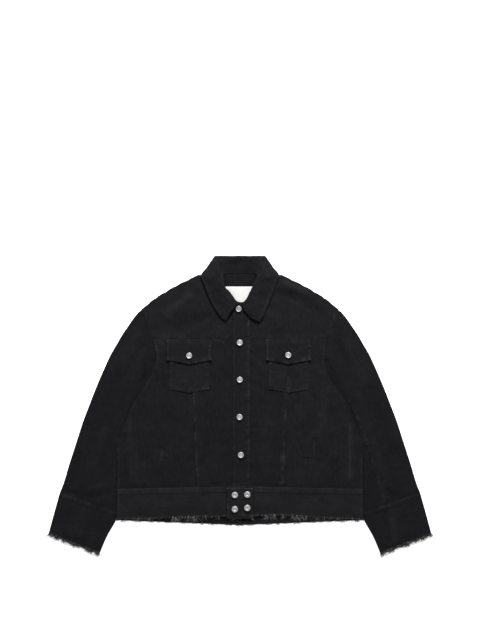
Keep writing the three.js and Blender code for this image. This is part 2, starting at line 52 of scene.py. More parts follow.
cloth = {
    "wall": 1.1,          # one layer of denim
    "doubleWall": 1.7,    # waistband, cuffs and collar
    "backTop": 1.3,       # inside face of the back, lying on the floor
    "frontLift": 1.3,     # front face above the gap between front and back
    "closedGap": 0.35,
    "openGap": 1.0,
    "fullGap": 2.6,
    "edgeRoll": 30.0,     # how far in from an edge the front gets its full height
    "rollRadius": 8.0,    # round of a folded edge
    "rollFoot": 2.2,      # height at which a folded edge meets the back
    "backFoot": 1.8,      # height of the back's outer face there
    "foldGain": 2.0,      # how much deeper the folds are than in the solids
    "step": 2.7,          # spacing of the cloth's mesh
    "underStep": 6.0,     # the same on the undersides, which lie on the floor
    "backStep": 4.5,
    "rim": 0.35,          # how far a cut edge is rounded down
}

outline = {
    "yokeSeamY": 165.4,
    "bandTop": (-196.6, -203.2),     # at the centre and at the side
    "bandHem": (-270.6, -278.6),
    "hemRise": 5.0,                  # how much higher the front hem lies on the right
    "backHem": (-292.2, -279.8),
    "sideX": 302.6,
    "bandSideX": 303.1,
    "bandFlare": 2.2,                # how much wider the waistband is at its hem
    "underarmY": -112.7,
    "tuckIn": 0.45,                  # how far the body and the sleeves press into each other
    "centreGap": 0.2,
}

# Front yoke sections: lower x on the yoke seam, then the point on the neck or the shoulder
frontYokeRows = [
    (0.2, 0.2, 246.5), (18, 20, 249), (36, 37, 266), (52, 47, 288), (72, 60, 309), (92, 86, 321),
    (106, 100, 321.3), (126, 127.4, 308.7), (146, 156.8, 294), (166, 182.5, 279.3),
    (184, 205.8, 264.6), (200, 225.4, 249.9), (214.6, 242.3, 236.4),
]
backYokeRows = [
    (0, 0, 291.2), (24, 24, 292.6), (44, 46, 298.6), (64, 68, 308.6), (86, 88, 321.2),
] + frontYokeRows[6:]
frontSeamRows = [(165.4, 118), (0, 114.3), (-115, 110), (-210, 104.4)]   # y, x

# Armhole point, then the sleeve's outer edge across from it
armholeRows = [
    (242.0, 235.0, 249.0, 230.0), (234.0, 214.4, 262.5, 213.0), (224.9, 191.0, 275.5, 194.0),
    (214.9, 165.4, 289.5, 173.5), (208.3, 144.6, 301.0, 153.5), (205.8, 110.3, 318.0, 124.0),
    (218.0, 74.2, 336.0, 84.5), (232.8, 49.7, 349.0, 54.5), (262.2, 4.2, 368.5, 5.0),
    (278.3, -37.7, 385.0, -38.5), (294.0, -79.9, 399.5, -83.5), (302.6, -112.7, 409.5, -114.5),
]
sleeveBelowRows = [
    (302.6, -150, 419.5, -145.5), (302.6, -190, 428.5, -176.5), (302.6, -228, 435.5, -197.5),
    (302.6, -260.2, 441.6, -211.6),
]
cuffRows = [
    (302.8, -260.56, 441.7, -211.93), (304.6, -279.0, 449.5, -240.0),
    (327.0, -321.5, 459.5, -276.0), (344.2, -362.2, 469.6, -313.6),
]


def smooth(t):
    t = np.clip(t, 0, 1)
    return t * t * (3 - 2 * t)


def bell(t):
    return np.exp(-t * t)


# Distance of each point from the first one, along a line of points
def distances(points):
    steps = np.linalg.norm(np.diff(points, axis=0), axis=1)
    return np.concatenate([[0], np.cumsum(steps)])


# Smooth curve from a to b with the slopes that it has there
def curveBetween(t, width, a, b, slopeA, slopeB):
    h00, h10 = 2 * t**3 - 3 * t**2 + 1, t**3 - 2 * t**2 + t
    h01, h11 = -2 * t**3 + 3 * t**2, t**3 - t**2
    return h00 * a + h10 * width * slopeA + h01 * b + h11 * width * slopeB


# Points of a curve through the rows of a table, evenly spaced along it
def alongRows(rows, spacing):
    rows = np.array(rows, float)
    along = distances(rows)
    at = np.linspace(0, 1, max(2, int(along[-1] / spacing)) + 1) * along[-1]
    slope = np.gradient(rows, along, axis=0)
    i = np.clip(np.searchsorted(along, at, side="right") - 1, 0, len(rows) - 2)
    width = (along[i + 1] - along[i])[:, None]
    t = (at - along[i])[:, None] / width
    return curveBetween(t, width, rows[i], rows[i + 1], slope[i], slope[i + 1])


# The same with sharp corners at some of the rows
def alongCorners(rows, corners, spacing):
    parts = []
    for start, end in zip([0] + corners, corners + [len(rows) - 1]):
        part = alongRows(rows[start:end + 1], spacing=spacing)
        parts.append(part if end == len(rows) - 1 else part[:-1])
    return np.concatenate(parts)


# Distance to a line of points, with the side that a point is on and how far along it lies
def nearLine(x, y, line):
    line = np.asarray(line, float)
    best = np.full(np.shape(x), np.inf)
    side = np.zeros(np.shape(x))
    along = np.zeros(np.shape(x))
    start = 0.0
    for a, b in zip(line[:-1], line[1:]):
        d = b - a
        size = math.hypot(*d)
        t = np.clip(((x - a[0]) * d[0] + (y - a[1]) * d[1]) / size**2, 0, 1)
        off = np.hypot(x - a[0] - t * d[0], y - a[1] - t * d[1])
        turn = np.sign(d[0] * (y - a[1]) - d[1] * (x - a[0]))
        closer = off < best - 1e-9
        best = np.where(closer, off, best)
        side = np.where(closer, turn, side)
        along = np.where(closer, start + t * size, along)
        start += size
    return best, side, along


# Smooth uneven field: a few waves in scattered directions, about -1 to 1
def unevenField(x, y, wavelength, seed, count=9):
    rng = np.random.default_rng(seed)
    total = 0
    for angle, size, phase in rng.random((count, 3)):
        k = 2 * math.pi / (wavelength * (0.6 + 0.9 * size))
        direction = 2 * math.pi * angle
        total = total + np.sin(k * (x * math.cos(direction) + y * math.sin(direction)) + 2 * math.pi * phase)
    return total / math.sqrt(count)


def unevenLine(s, wavelength, seed):
    return unevenField(s, 0 * s, wavelength, seed, 6)


def edgeY(pair, x):
    return pair[0] + (pair[1] - pair[0]) * np.abs(x) / outline["sideX"]


# Lower edge of the front waistband
def hemY(x):
    return edgeY(outline["bandHem"], x) + outline["hemRise"] * bell((x - 108) / 82)


def mirrored(line):
    return [(-x, y) for x, y in line]


shoulderLine = [(x, y) for _, x, y in frontYokeRows[6:]]
sideLine = [(outline["sideX"], outline["underarmY"]), (outline["sideX"], outline["bandHem"][1])]
hemLine = [(0, outline["bandHem"][0]), (outline["sideX"], outline["bandHem"][1])]
sleeveRows = armholeRows + sleeveBelowRows
sleeveCurve = alongRows(sleeveRows, spacing=8)
cuffCurve = alongRows(cuffRows, spacing=8)
outerLine = np.concatenate([sleeveCurve[:, 2:], cuffCurve[1:, 2:]])
innerLine = np.concatenate([np.array(sleeveRows)[len(armholeRows) - 1:, :2], cuffCurve[1:, :2]])
cuffEndLine = [cuffRows[-1][:2], cuffRows[-1][2:]]

# Folds: a soft ridge (lift over 0) or trough along a line, x1, y1, x2, y2, width, lift
bodyFolds = [
    (-126, 267, -178, 222, 12, 1.3), (-80, 216, -154, 190, 13, -1.3), (-150, 262, -205, 236, 11, -0.7),
    (113, 299, 150, 287, 12, 1.2), (92, 276, 130, 268, 11, -1.1), (130, 268, 165, 250, 12, -1.4),
    (165, 250, 198, 222, 11, -1.0), (60, 232, 98, 205, 12, 0.5), (-212, 140, -212, 92, 10, 1.1),
    (-204, 164, -184, 138, 9, 0.8), (-198, 60, -172, -40, 16, -0.9), (-186, 30, -150, -20, 14, 0.5),
    (214, 40, 196, -60, 17, 0.8), (184, 20, 178, -50, 13, -0.6), (-194, -106, -160, -134, 9, -1.0),
    (-190, -114, -158, -142, 6, 0.7), (182, -84, 178, -118, 8, -1.0), (160, -131, 196, -135, 7, -0.8),
    (162, -124, 196, -127, 5, 0.5), (270, -50, 270, -174, 9, 1.2), (256, -70, 258, -150, 13, -0.6),
    (-270, -44, -271, -112, 8, 1.2), (-256, -90, -262, -186, 12, 0.6), (226, -140, 240, -196, 13, -0.8),
    (-232, -150, -222, -198, 13, 0.7), (60, -60, 70, -170, 15, 0.6), (-56, 20, -66, -90, 15, -0.6),
    (36, 112, 58, 84, 9, 0.5), (-44, 86, -30, 60, 8, -0.5), (40, -40, 78, -48, 8, 0.35),
    (-62, -150, -90, -190, 12, 0.5), (84, -150, 92, -196, 10, -0.5), (-150, -150, -140, -198, 12, -0.6),
    (140, -160, 150, -198, 12, 0.6), (-288, -140, -276, -198, 9, -0.6), (288, -150, 284, -200, 9, -0.6),
    (-120, 0, -132, -70, 15, 0.5), (128, -10, 140, -70, 15, -0.5), (-30, 200, -60, 176, 11, 0.5),
    (118, 74, 118, 28, 6, -0.8),
]
sleeveFolds = [
    (210, 108, 232, 54, 9, -1.7), (234, 48, 262, 2, 9, -1.8), (264, -4, 294, -76, 8, -1.5),
    (-210, 108, -232, 54, 9, -1.8), (-234, 48, -262, 2, 8, -1.4), (-264, -4, -294, -76, 8, -1.3),
    (262, 150, 300, 60, 15, 0.9), (240, 150, 262, 96, 11, -0.7), (-250, 170, -290, 110, 14, 0.9),
    (-236, 132, -262, 72, 12, 0.8), (-300, 70, -322, 0, 13, -0.8), (318, 40, 342, -46, 14, -0.9),
    (290, 20, 316, -50, 12, 0.6), (326, -92, 356, -196, 12, 0.6), (-330, -60, -362, -150, 13, 1.0),
    (-310, -60, -336, -140, 11, -0.7), (-398, -120, -412, -186, 10, -0.8), (388, -110, 404, -190, 11, -0.8),
    (-322, -214, -360, -224, 8, -0.9), (-330, -196, -372, -206, 7, 0.5), (362, -206, 372, -226, 7, -1.0),
    (340, -208, 352, -232, 6, 0.8), (366, -250, 382, -330, 10, 0.9), (350, -262, 362, -330, 9, -0.6),
    (-380, -240, -398, -310, 11, 0.8), (-352, -256, -372, -330, 10, -0.6), (420, -250, 432, -300, 11, -0.6),
    (372, -20, 392, -84, 12, 0.6), (-356, 10, -374, -50, 12, -0.5), (410, -170, 424, -206, 9, 0.5),
    (-402, -216, -436, -206, 7, -0.5),
]

# Pale streaks (strength over 0), some worn on seams and edges and some along creases and fold ridges, and
# dark streaks (strength under 0), which are painted shade along the armholes and at the pocket flaps' tops,
# edges and rows: x1, y1, x2, y2, width, strength
paleAndShadeMarks = [
    (117.5, 73, 118, 34, 1.9, 0.34), (123, 66, 122.5, 40, 1.9, 0.24), (112, 46, 130, 27, 3, 0.14),
    (-191, -108, -194, -134, 2, 0.26), (-180, -103, -179, -126, 2, 0.24), (-170, -104, -168, -122, 2, 0.2),
    (-196, -130, -180, -134, 2, 0.16), (181, -86, 180.5, -116, 2, 0.28), (186, -92, 186, -106, 2, 0.14),
    (163, -131, 194, -134, 2, 0.18), (269.5, -52, 270, -172, 2.4, 0.13), (-272, -44, -272, -106, 2.4, 0.12),
    (233, 220, 231, 212, 5, 0.14), (223, 187, 221, 178, 5, 0.14), (206, 148, 203, 106, 3.5, 0.1),
    (-205, 158, -202, 130, 3.5, 0.16), (-66, 165, -42, 156, 3, 0.14), (-200, 92, -196, 58, 4, 0.08),
    (-233, 104, -235, 66, 4.5, -0.4), (214, 80, 230, 56, 4.5, -0.45), (230, 56, 262, 6, 4, -0.2),
    (262, 6, 290, -74, 4, -0.25), (134, 2, 166, -1, 2.2, 0.12), (146, -36, 150, -20, 2.2, 0.14),
    (-165, 159, -78, 158.4, 2.0, -0.32), (66, 159.5, 170, 159.5, 2.0, -0.28),
    (66, 164.5, 172, 164.5, 2.0, 0.1), (-171.5, 154, -171.5, 122, 1.9, -0.3),
    (-176.5, 157, -176.5, 116, 1.9, 0.2), (-70, 157, -70.6, 116, 1.9, -0.3),
    (-75, 152, -75.4, 117, 1.9, 0.26), (67.4, 156, 67.4, 118, 1.9, 0.22), (170.4, 157, 170, 117, 1.9, 0.24),
    (10, 105, 21, 104, 1.9, 0.2), (12, 86, 21, 84, 1.9, 0.16), (8, 27, 21, 29, 1.9, 0.2),
    (10, -58, 21, -60, 1.9, 0.2), (12, -91, 21, -92, 1.9, 0.16), (-17, 30, -8, 26, 1.9, 0.12),
    (371, -275, 378, -328, 5, 0.09), (344, -240, 352, -236, 4, 0.14), (-326, -250, -336, -247, 3, 0.2),
    (-398, -226, -428, -214, 3.5, 0.12), (130, 128, 150, 140, 3, 0.1), (-150, 60, -110, 62, 3, 0.08),
    (-160, 44, -90, 40, 2.4, 0.08), (-90, 110, -84, 96, 3, 0.12), (40, 76, 96, 70, 12, 0.03),
]

bodyHold = [(shoulderLine, "closedGap"), (sideLine, "closedGap"), (hemLine, "openGap")]
sleeveHold = [(outerLine, "closedGap"), (innerLine, "closedGap"), (cuffEndLine, "openGap")]


# Seams of the front and the sleeves, on the right half. A seam is raised on one side of its line
# (+1 is the left of its direction), is puckered along its rows of stitches, is worn pale, and has painted
# shade at the foot of its raised side and beside its outer rows of stitches.
def seam(line, side, rows=(2.0, 7.6), width=9.5, lift=0.8, pucker=0.28, wear=0.4, creaseShade=0.3, steady=0.35):
    return {"line": np.asarray(line, float), "side": side, "rows": rows, "width": width, "lift": lift,
            "pucker": pucker, "wear": wear, "creaseShade": creaseShade, "steady": steady}


armholeCurve = alongRows(armholeRows, spacing=6)[:, :2]
frontSeamLine = [(x, y) for y, x in frontSeamRows]
yokeSeamLine = [(24, outline["yokeSeamY"]), (214.9, outline["yokeSeamY"])]
bandSeamLine = [(0, outline["bandTop"][0]), (outline["sideX"], outline["bandTop"][1])]
sleeveSeamRight = alongRows([(264, 12), (284, -27), (300, -68), (314, -108), (333, -167), (353, -233)],
                            spacing=8)
sleeveSeamLeft = alongRows([(-254, 12), (-270, -30), (-288, -80), (-299, -130), (-306, -180),
                            (-316, -252)], spacing=8)
cuffSeamLine = [(302.8, -260.4), (441.6, -211.8)]

bodySeams = []
for turn, flip in ((1, list), (-1, mirrored)):
    bodySeams += [
        seam(flip(yokeSeamLine), turn, lift=0.4, wear=0.22, creaseShade=0.06),
        seam(flip(frontSeamLine), -turn, width=9, lift=0.6, pucker=0.2, wear=0.36, creaseShade=0.25),
        seam(flip([tuple(p) for p in armholeCurve]), -turn, lift=0.3, pucker=0.3, wear=0.14, creaseShade=0.3,
             steady=0.1),
        seam(flip(bandSeamLine), turn, rows=(), width=6, lift=-0.4, pucker=0.5, wear=0, creaseShade=0.35),
    ]
bodySeams.append(seam([(23.3, 240), (23.3, -199)], 1, rows=(), width=6, lift=-0.15, pucker=0.4, wear=0))
bandSeams = [seam(line, turn, rows=(2.2, 12.6), width=14, lift=1.1, pucker=0.3, wear=0.16, steady=0.8)
             for line, turn in ((bandSeamLine, -1), (mirrored(bandSeamLine), 1))]
sleeveSeams = [
    seam(sleeveSeamRight, 1, width=7, rows=(1.8,), lift=0.7, pucker=0.25, wear=0.32, steady=0.5),
    seam(sleeveSeamLeft, -1, width=7, rows=(1.8,), lift=0.3, pucker=0.2, wear=0.07, creaseShade=0.1),
    seam(cuffSeamLine, 1, rows=(), width=6, lift=-0.3, pucker=0.5, wear=0),
    seam(mirrored(cuffSeamLine), -1, rows=(), width=6, lift=-0.3, pucker=0.5, wear=0),
]
cuffSeams = [seam(line, turn, rows=(2.0, 8.4), width=11, lift=0.9, pucker=0.7, wear=wear, steady=0.15)
             for line, turn, wear in ((cuffSeamLine, -1, 0.4), (mirrored(cuffSeamLine), 1, 0.5))]


# Height, and wear with painted shade, that seams give at plan points
def seamRelief(seams, x, y):
    height, worn = np.zeros(np.shape(x)), np.zeros(np.shape(x))
    for number, one in enumerate(seams):
        away, side, along = nearLine(x, y, one["line"])
        inside = np.where(side * one["side"] > 0, away, -away)
        band = smooth(inside / 1.6 + 0.5) * (1 - smooth((inside - one["width"] + 1.5) / 3.5))
        height = height + one["lift"] * band
        for row in one["rows"]:
            height = height - 0.16 * bell((inside - row) / 0.9)
        ripple = unevenLine(along, 11, 40 + number) + 0.5 * unevenLine(along, 5.5, 90 + number)
        height = height + one["pucker"] * ripple * bell((inside - one["width"] * 0.4) / one["width"])
        patchy = one["steady"] + 0.6 * unevenLine(along, 44, 60 + number)
        patchy = patchy + 0.4 * unevenLine(along, 13, 70 + number)
        worn = worn + one["wear"] * np.clip(patchy, 0.0, 1.6) * (
            0.9 * bell((inside - 0.8) / 1.7) + 0.6 * band * (0.7 + 0.5 * ripple))
        # Painted shade at the foot of the seam's raised side and beside its outer rows of stitches
        broken = np.clip(0.7 + 0.7 * unevenLine(along, 52, 110 + number), 0, 1.3) * one["creaseShade"]
        worn = worn - broken * bell((inside + 1.4) / 1.5)
        for row in one["rows"][1:]:
            worn = worn - 0.6 * broken * bell((inside - row - 0.6) / 1.3)
    return height, worn


def foldRelief(folds, x, y):
    total = np.zeros(np.shape(x))
    for x1, y1, x2, y2, width, lift in folds:
        away, _, along = nearLine(x, y, [(x1, y1), (x2, y2)])
        length = math.hypot(x2 - x1, y2 - y1)
        narrow = width * (0.75 + 0.5 * np.clip(along / length, 0, 1))
        total = total + lift * bell(away / narrow)
    return total


# Front face of a region of the front layer
def frontHeight(hold, folds, seams, x, y, seed):
    base = np.full(np.shape(x), cloth["fullGap"])
    free = np.ones(np.shape(x))
    closest = np.full(np.shape(x), np.inf)
    for line, gap in hold:
        away = nearLine(np.abs(x), y, line)[0]
        rise = smooth(away / cloth["edgeRoll"])
        base = np.minimum(base, cloth[gap] + (cloth["fullGap"] - cloth[gap]) * rise)
        free = np.minimum(free, 0.15 + 0.85 * smooth(away / 14))
        if gap == "closedGap":
            closest = np.minimum(closest, away)
    lift = cloth["foldGain"] * foldRelief(folds, x, y)
    lift = lift + 0.42 * unevenField(x, y, 95, seed) + 0.2 * unevenField(x, y, 42, seed + 1)
    lift = lift + 0.07 * unevenField(x, y, 17, seed + 2)
    relief = seamRelief(seams, x, y)[0]
    height = cloth["backTop"] + cloth["frontLift"] + base + lift * free + relief
    height = np.maximum(height, cloth["backTop"] + cloth["closedGap"] + cloth["wall"])
    turn = rollTurn(closest)
    return cloth["rollFoot"] + (height - cloth["rollFoot"]) * turn


# Quarter round of a folded edge, 0 at the edge and 1 from rollRadius inward
def rollTurn(away):
    return np.sqrt(1 - (1 - np.clip(away / cloth["rollRadius"], 0, 1)) ** 2)


def bodyTop(x, y):
    return frontHeight(bodyHold, bodyFolds, bodySeams, x, y, 11)


def smoothTop(x, y):
    return frontHeight(bodyHold, bodyFolds, (), x, y, 11)


def bandTop(x, y):
    return frontHeight(bodyHold, bodyFolds, bandSeams, x, y, 11) + 0.6


def sleeveTop(x, y):
    return frontHeight(sleeveHold, sleeveFolds, sleeveSeams, x, y, 31)


def cuffTop(x, y):
    return frontHeight(sleeveHold, sleeveFolds, cuffSeams, x, y, 31) + 0.5


# Outer face of the back, which curls up to the front at its folded edges
def backUnder(x, y, lines):
    away = np.full(np.shape(x), np.inf)
    for line in lines:
        away = np.minimum(away, nearLine(np.abs(x), y, line)[0])
    return cloth["backFoot"] * (1 - rollTurn(away))


print("denim jacket: plan and heights ready")


# Distances across a piece, close together near its two edges
def edgeSteps(width, step):
    near = [0, 0.2, 0.8, 1.8, 3.4]
    if width < 12:
        return np.linspace(0, 1, 7)
    middle = np.linspace(near[-1], width - near[-1], max(2, int((width - 6.8) / step)) + 1)
    far = [width - d for d in reversed(near[:-1])]
    return np.concatenate([near[:-1], middle, far]) / width


# Plan grid from section ends, rows by columns. bend lifts the middle of the first and last rows
def planGrid(ends, across, bend=(0, 0)):
    ends = np.asarray(ends, float)
    t = np.asarray(across)[None, :]
    x = ends[:, 0:1] * (1 - t) + ends[:, 2:3] * t
    y = ends[:, 1:2] * (1 - t) + ends[:, 3:4] * t
    down = np.linspace(0, 1, len(ends))[:, None]
    y = y + (bend[0] * (1 - down) + bend[1] * down) * (1 - np.abs(x) / outline["sideX"])
    return x, y


def gridNormals(points):
    down = np.gradient(points, axis=0)
    right = np.gradient(points, axis=1)
    normal = np.cross(right, down)
    return normal / np.maximum(np.linalg.norm(normal, axis=2, keepdims=True), 1e-12)


# A closed cloth wall from the grid of its outer face, in millimetres
def wallMesh(name, face, wall, wear, grain):
    rows, columns = face.shape[:2]
    normal = gridNormals(face)
    inner = face - normal * wall
    shaped = face.copy()
    for ring, share in ((0, 1.0), (1, 0.25)):
        for part in (np.s_[ring, :], np.s_[rows - 1 - ring, :], np.s_[:, ring], np.s_[:, columns - 1 - ring]):
            shaped[part] = face[part] - normal[part] * cloth["rim"] * share
    points = np.concatenate([shaped.reshape(-1, 3), inner.reshape(-1, 3)])
    points[:, 1] += planShift
    points *= mm
    index = np.arange(rows * columns).reshape(rows, columns)
    under = index + rows * columns
    a, b, c, d = index[:-1, :-1], index[:-1, 1:], index[1:, 1:], index[1:, :-1]
    quads = [np.stack([a, b, c, d], -1).reshape(-1, 4)]
    a, b, c, d = under[:-1, :-1], under[:-1, 1:], under[1:, 1:], under[1:, :-1]
    quads.append(np.stack([a, d, c, b], -1).reshape(-1, 4))
    for line, low, turn in ((index[0], under[0], 1), (index[-1], under[-1], 0),
                            (index[:, 0], under[:, 0], 0), (index[:, -1], under[:, -1], 1)):
        rim = np.stack([line[:-1], line[1:], low[1:], low[:-1]], -1)
        quads.append(rim[:, ::-1] if turn else rim)
    quads = np.concatenate(quads)
    mesh = bpy.data.meshes.new(name)
    mesh.from_pydata(points.tolist(), [], quads.tolist())
    # The wear attribute holds pale wear above 0 and painted shade below 0
    addNumbers(mesh, "wear", np.tile(wear.reshape(-1), 2))
    addVectors(mesh, "grain", np.tile(grain.reshape(-1, 3), (2, 1)) * mm)
    mesh.shade_smooth()
    mesh.set_sharp_from_angle(angle=math.radians(50))
    return mesh


def addNumbers(mesh, name, values):
    layer = mesh.attributes.new(name, "FLOAT", "POINT")
    layer.data.foreach_set("value", np.asarray(values, np.float32))


def addVectors(mesh, name, values):
    layer = mesh.attributes.new(name, "FLOAT_VECTOR", "POINT")
    layer.data.foreach_set("vector", np.asarray(values, np.float32).reshape(-1))


def addPiece(name, mesh, material, nodes=()):
    piece = bpy.data.objects.new(name, mesh)
    bpy.context.collection.objects.link(piece)
    mesh.materials.append(material)
    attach(piece, "root")
    if nodes:
        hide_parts(*nodes)
    return piece


def planArea(points):
    a = points[:-1, :-1]
    area = 0.5 * np.linalg.norm(np.cross(points[1:, :-1] - a, points[1:, 1:] - a), axis=2).sum()
    area += 0.5 * np.linalg.norm(np.cross(points[1:, 1:] - a, points[:-1, 1:] - a), axis=2).sum()
    return area * mm * mm


# Size of the rectangle that a piece's cut fits in, grown to its area; the result is not used
def declareCloth(face, cut=None):
    area = planArea(face)
    low, high = face.reshape(-1, 3).min(0), face.reshape(-1, 3).max(0)
    width, length = cut or ((high[0] - low[0]) * mm, (high[1] - low[1]) * mm)
    grow = max(1.0, area / (width * length))
    width, length = width * math.sqrt(grow), length * math.sqrt(grow)


# Grain of the twill: across and along a piece, turned by an angle
def grainOf(x, y, angle=0.0):
    c, s = math.cos(angle), math.sin(angle)
    return np.stack([c * x + s * y, -s * x + c * y, 0 * x], -1)


# One cloth piece over plan sections, with its outer face at top(x, y), facing up or down
def makeCloth(name, ends, top, look, slotName, nodes, wall=None, seams=(), restsOn=("floor",),
              step=None, angle=0.0, edgeWear=0.0, up=True, folds=(), bend=(0, 0), shade=None):
    ends = np.asarray(ends, float)
    width = np.hypot(ends[:, 2] - ends[:, 0], ends[:, 3] - ends[:, 1]).mean()
    x, y = planGrid(ends, edgeSteps(width, step or cloth["step"]), bend)
    face = np.stack([x, y, top(x, y)], -1)
    if (gridNormals(face)[..., 2].mean() > 0) != up:
        face = face[:, ::-1]
        x, y = x[:, ::-1], y[:, ::-1]
    # Pale wear above 0 and painted shade below 0, from the seams, folds, edge and shade
    worn = seamRelief(seams, x, y)[1] + foldWearAndShade(folds, x, y)
    worn = worn + edgeWear * borderOf(x.shape)
    if shade:
        worn = worn + shade(x, y)
    mesh = wallMesh(name, face, wall or cloth["wall"], worn, grainOf(x, y, angle))
    piece = addPiece(name, mesh, look, nodes)
    declareCloth(face)
    return piece


def borderOf(shape):
    border = np.zeros(shape)
    border[0] = border[-1] = border[:, 0] = border[:, -1] = 1
    return border


# Ridges rub pale and the body's folded edge gets a pale line; troughs get painted shade, and so does the
# groove beside the sleeve
def foldWearAndShade(folds, x, y):
    if not len(folds):
        return np.zeros(np.shape(x))
    away = np.minimum(nearLine(np.abs(x), y, innerLine)[0], nearLine(np.abs(x), y, sideLine)[0])
    onBody = np.abs(x) < outline["sideX"] + 0.6
    # A pale line along the body's folded edge, and painted shade in the groove between body and sleeve
    worn = 0.26 * bell((away - 4.2) / 1.4) * onBody - 0.8 * bell(away / 2.1)
    # Pale on fold ridges, painted shade in fold troughs
    worn = worn + np.clip(0.075 * foldRelief(folds, x, y), -0.26, 0.09)
    for x1, y1, x2, y2, width, strength in paleAndShadeMarks:
        worn = worn + strength * bell(nearLine(x, y, [(x1, y1), (x2, y2)])[0] / width)
    return worn


# Materials
def startGroup(name, inputs, outputs):
    group = bpy.data.node_groups.new(name, "ShaderNodeTree")
    for label, kind, value in inputs:
        socket = group.interface.new_socket(label, in_out="INPUT", socket_type=kind)
        if value is not None:
            socket.default_value = value
    for label, kind in outputs:
        group.interface.new_socket(label, in_out="OUTPUT", socket_type=kind)
    return group, group.nodes.new("NodeGroupInput").outputs, group.nodes.new("NodeGroupOutput").inputs


def calc(tree, operation, a, b=None, clamp=False):
    node = tree.nodes.new("ShaderNodeMath")
    node.operation = operation
    node.use_clamp = clamp
    for socket, value in zip(node.inputs, (a, b)):
        if isinstance(value, (int, float)):
            socket.default_value = value
        elif value is not None:
            tree.links.new(value, socket)
    return node.outputs[0]


def stretched(tree, vector, scale):
    node = tree.nodes.new("ShaderNodeVectorMath")
    node.operation = "MULTIPLY"
    tree.links.new(vector, node.inputs[0])
    node.inputs[1].default_value = scale
    return node.outputs[0]


def noise(tree, vector, scale, detail=3.0, roughness=0.6):
    node = tree.nodes.new("ShaderNodeTexNoise")
    tree.links.new(vector, node.inputs["Vector"])
    node.inputs["Scale"].default_value = scale
    node.inputs["Detail"].default_value = detail
    node.inputs["Roughness"].default_value = roughness
    return node.outputs[0]


def mixColour(tree, share, a, b, blend="MIX"):
    node = tree.nodes.new("ShaderNodeMix")
    node.data_type = "RGBA"
    node.blend_type = blend
    for socket, value in ((node.inputs[0], share), (node.inputs[6], a), (node.inputs[7], b)):
        if hasattr(value, "is_linked"):
            tree.links.new(value, socket)
        else:
            socket.default_value = value
    return node.outputs[2]


def grey(tree, value):
    node = tree.nodes.new("ShaderNodeCombineColor")
    for socket in node.inputs[:3]:
        tree.links.new(value, socket)
    return node.outputs[0]


# Twill: slanting ridges across the grain, with uneven slubby yarns along it
def makeTwill():
    group, given, gives = startGroup(
        "twillWeave",
        [("Grain", "NodeSocketVector", None), ("Pitch", "NodeSocketFloat", 0.0011),
         ("Slub", "NodeSocketFloat", 0.5)],
        [("Height", "NodeSocketFloat"), ("Tone", "NodeSocketFloat")])
    split = group.nodes.new("ShaderNodeSeparateXYZ")
    group.links.new(given["Grain"], split.inputs[0])
    slant = calc(group, "ADD", split.outputs[0], calc(group, "MULTIPLY", split.outputs[1], 0.62))
    turn = calc(group, "MULTIPLY", calc(group, "DIVIDE", slant, given["Pitch"]), 2 * math.pi)
    ridge = calc(group, "ADD", calc(group, "MULTIPLY", calc(group, "SINE", turn), 0.5), 0.5)
    yarn = noise(group, stretched(group, given["Grain"], (1000, 70, 1)), 1.0, 2.0)
    pick = noise(group, stretched(group, given["Grain"], (90, 1100, 1)), 1.0, 2.0)
    uneven = calc(group, "MULTIPLY", calc(group, "ADD", yarn, pick), 0.5)
    slub = calc(group, "MULTIPLY", calc(group, "SUBTRACT", uneven, 0.5), given["Slub"])
    group.links.new(calc(group, "ADD", ridge, calc(group, "MULTIPLY", slub, 1.5)), gives["Height"])
    tone = calc(group, "ADD", calc(group, "MULTIPLY", ridge, 0.25), calc(group, "MULTIPLY", slub, 2.0))
    group.links.new(calc(group, "ADD", tone, 0.4), gives["Tone"])
    return group


# Fading: pale where seams, edges and ridges rub, painted shade where the wear value is below 0, and a soft
# mottle over the whole cloth
def makeFading():
    group, given, gives = startGroup(
        "fadingAndShade",
        [("Base", "NodeSocketColor", None), ("Worn", "NodeSocketColor", None),
         ("WearAndShade", "NodeSocketFloat", 0.0), ("Tone", "NodeSocketFloat", 0.5),
         ("Grain", "NodeSocketVector", None), ("Mottle", "NodeSocketFloat", 0.3)],
        [("Colour", "NodeSocketColor"), ("Mask", "NodeSocketFloat")])
    patch = noise(group, given["Grain"], 190.0, 4.0, 0.65)
    patch = calc(group, "ADD", calc(group, "MULTIPLY", patch, 1.9), -0.1)
    rubbed = calc(group, "MULTIPLY", given["WearAndShade"], patch)
    mask = calc(group, "MAXIMUM", rubbed, 0.0, clamp=True)
    cloudy = noise(group, given["Grain"], 21.0, 4.0, 0.55)
    slubs = noise(group, stretched(group, given["Grain"], (150, 62, 1)), 1.0, 3.0)
    fine = noise(group, stretched(group, given["Grain"], (420, 240, 1)), 1.0, 3.0)
    vary = calc(group, "ADD", calc(group, "MULTIPLY", calc(group, "SUBTRACT", cloudy, 0.5), 1.4),
                calc(group, "MULTIPLY", calc(group, "SUBTRACT", fine, 0.5), 1.6))
    vary = calc(group, "ADD", vary, calc(group, "MULTIPLY", calc(group, "SUBTRACT", slubs, 0.5), 1.9))
    vary = calc(group, "ADD", vary, calc(group, "SUBTRACT", given["Tone"], 0.5))
    level = calc(group, "ADD", calc(group, "MULTIPLY", vary, given["Mottle"]), 1.0)
    # Painted shade: darker where the wear value is below 0
    dark = calc(group, "ADD", calc(group, "MULTIPLY", calc(group, "MINIMUM", given["WearAndShade"], 0.0), 1.2), level)
    colour = mixColour(group, mask, given["Base"], given["Worn"])
    colour = mixColour(group, 1.0, colour, grey(group, dark), "MULTIPLY")
    group.links.new(colour, gives["Colour"])
    group.links.new(mask, gives["Mask"])
    return group


twillWeave = makeTwill()
fadingAndShade = makeFading()


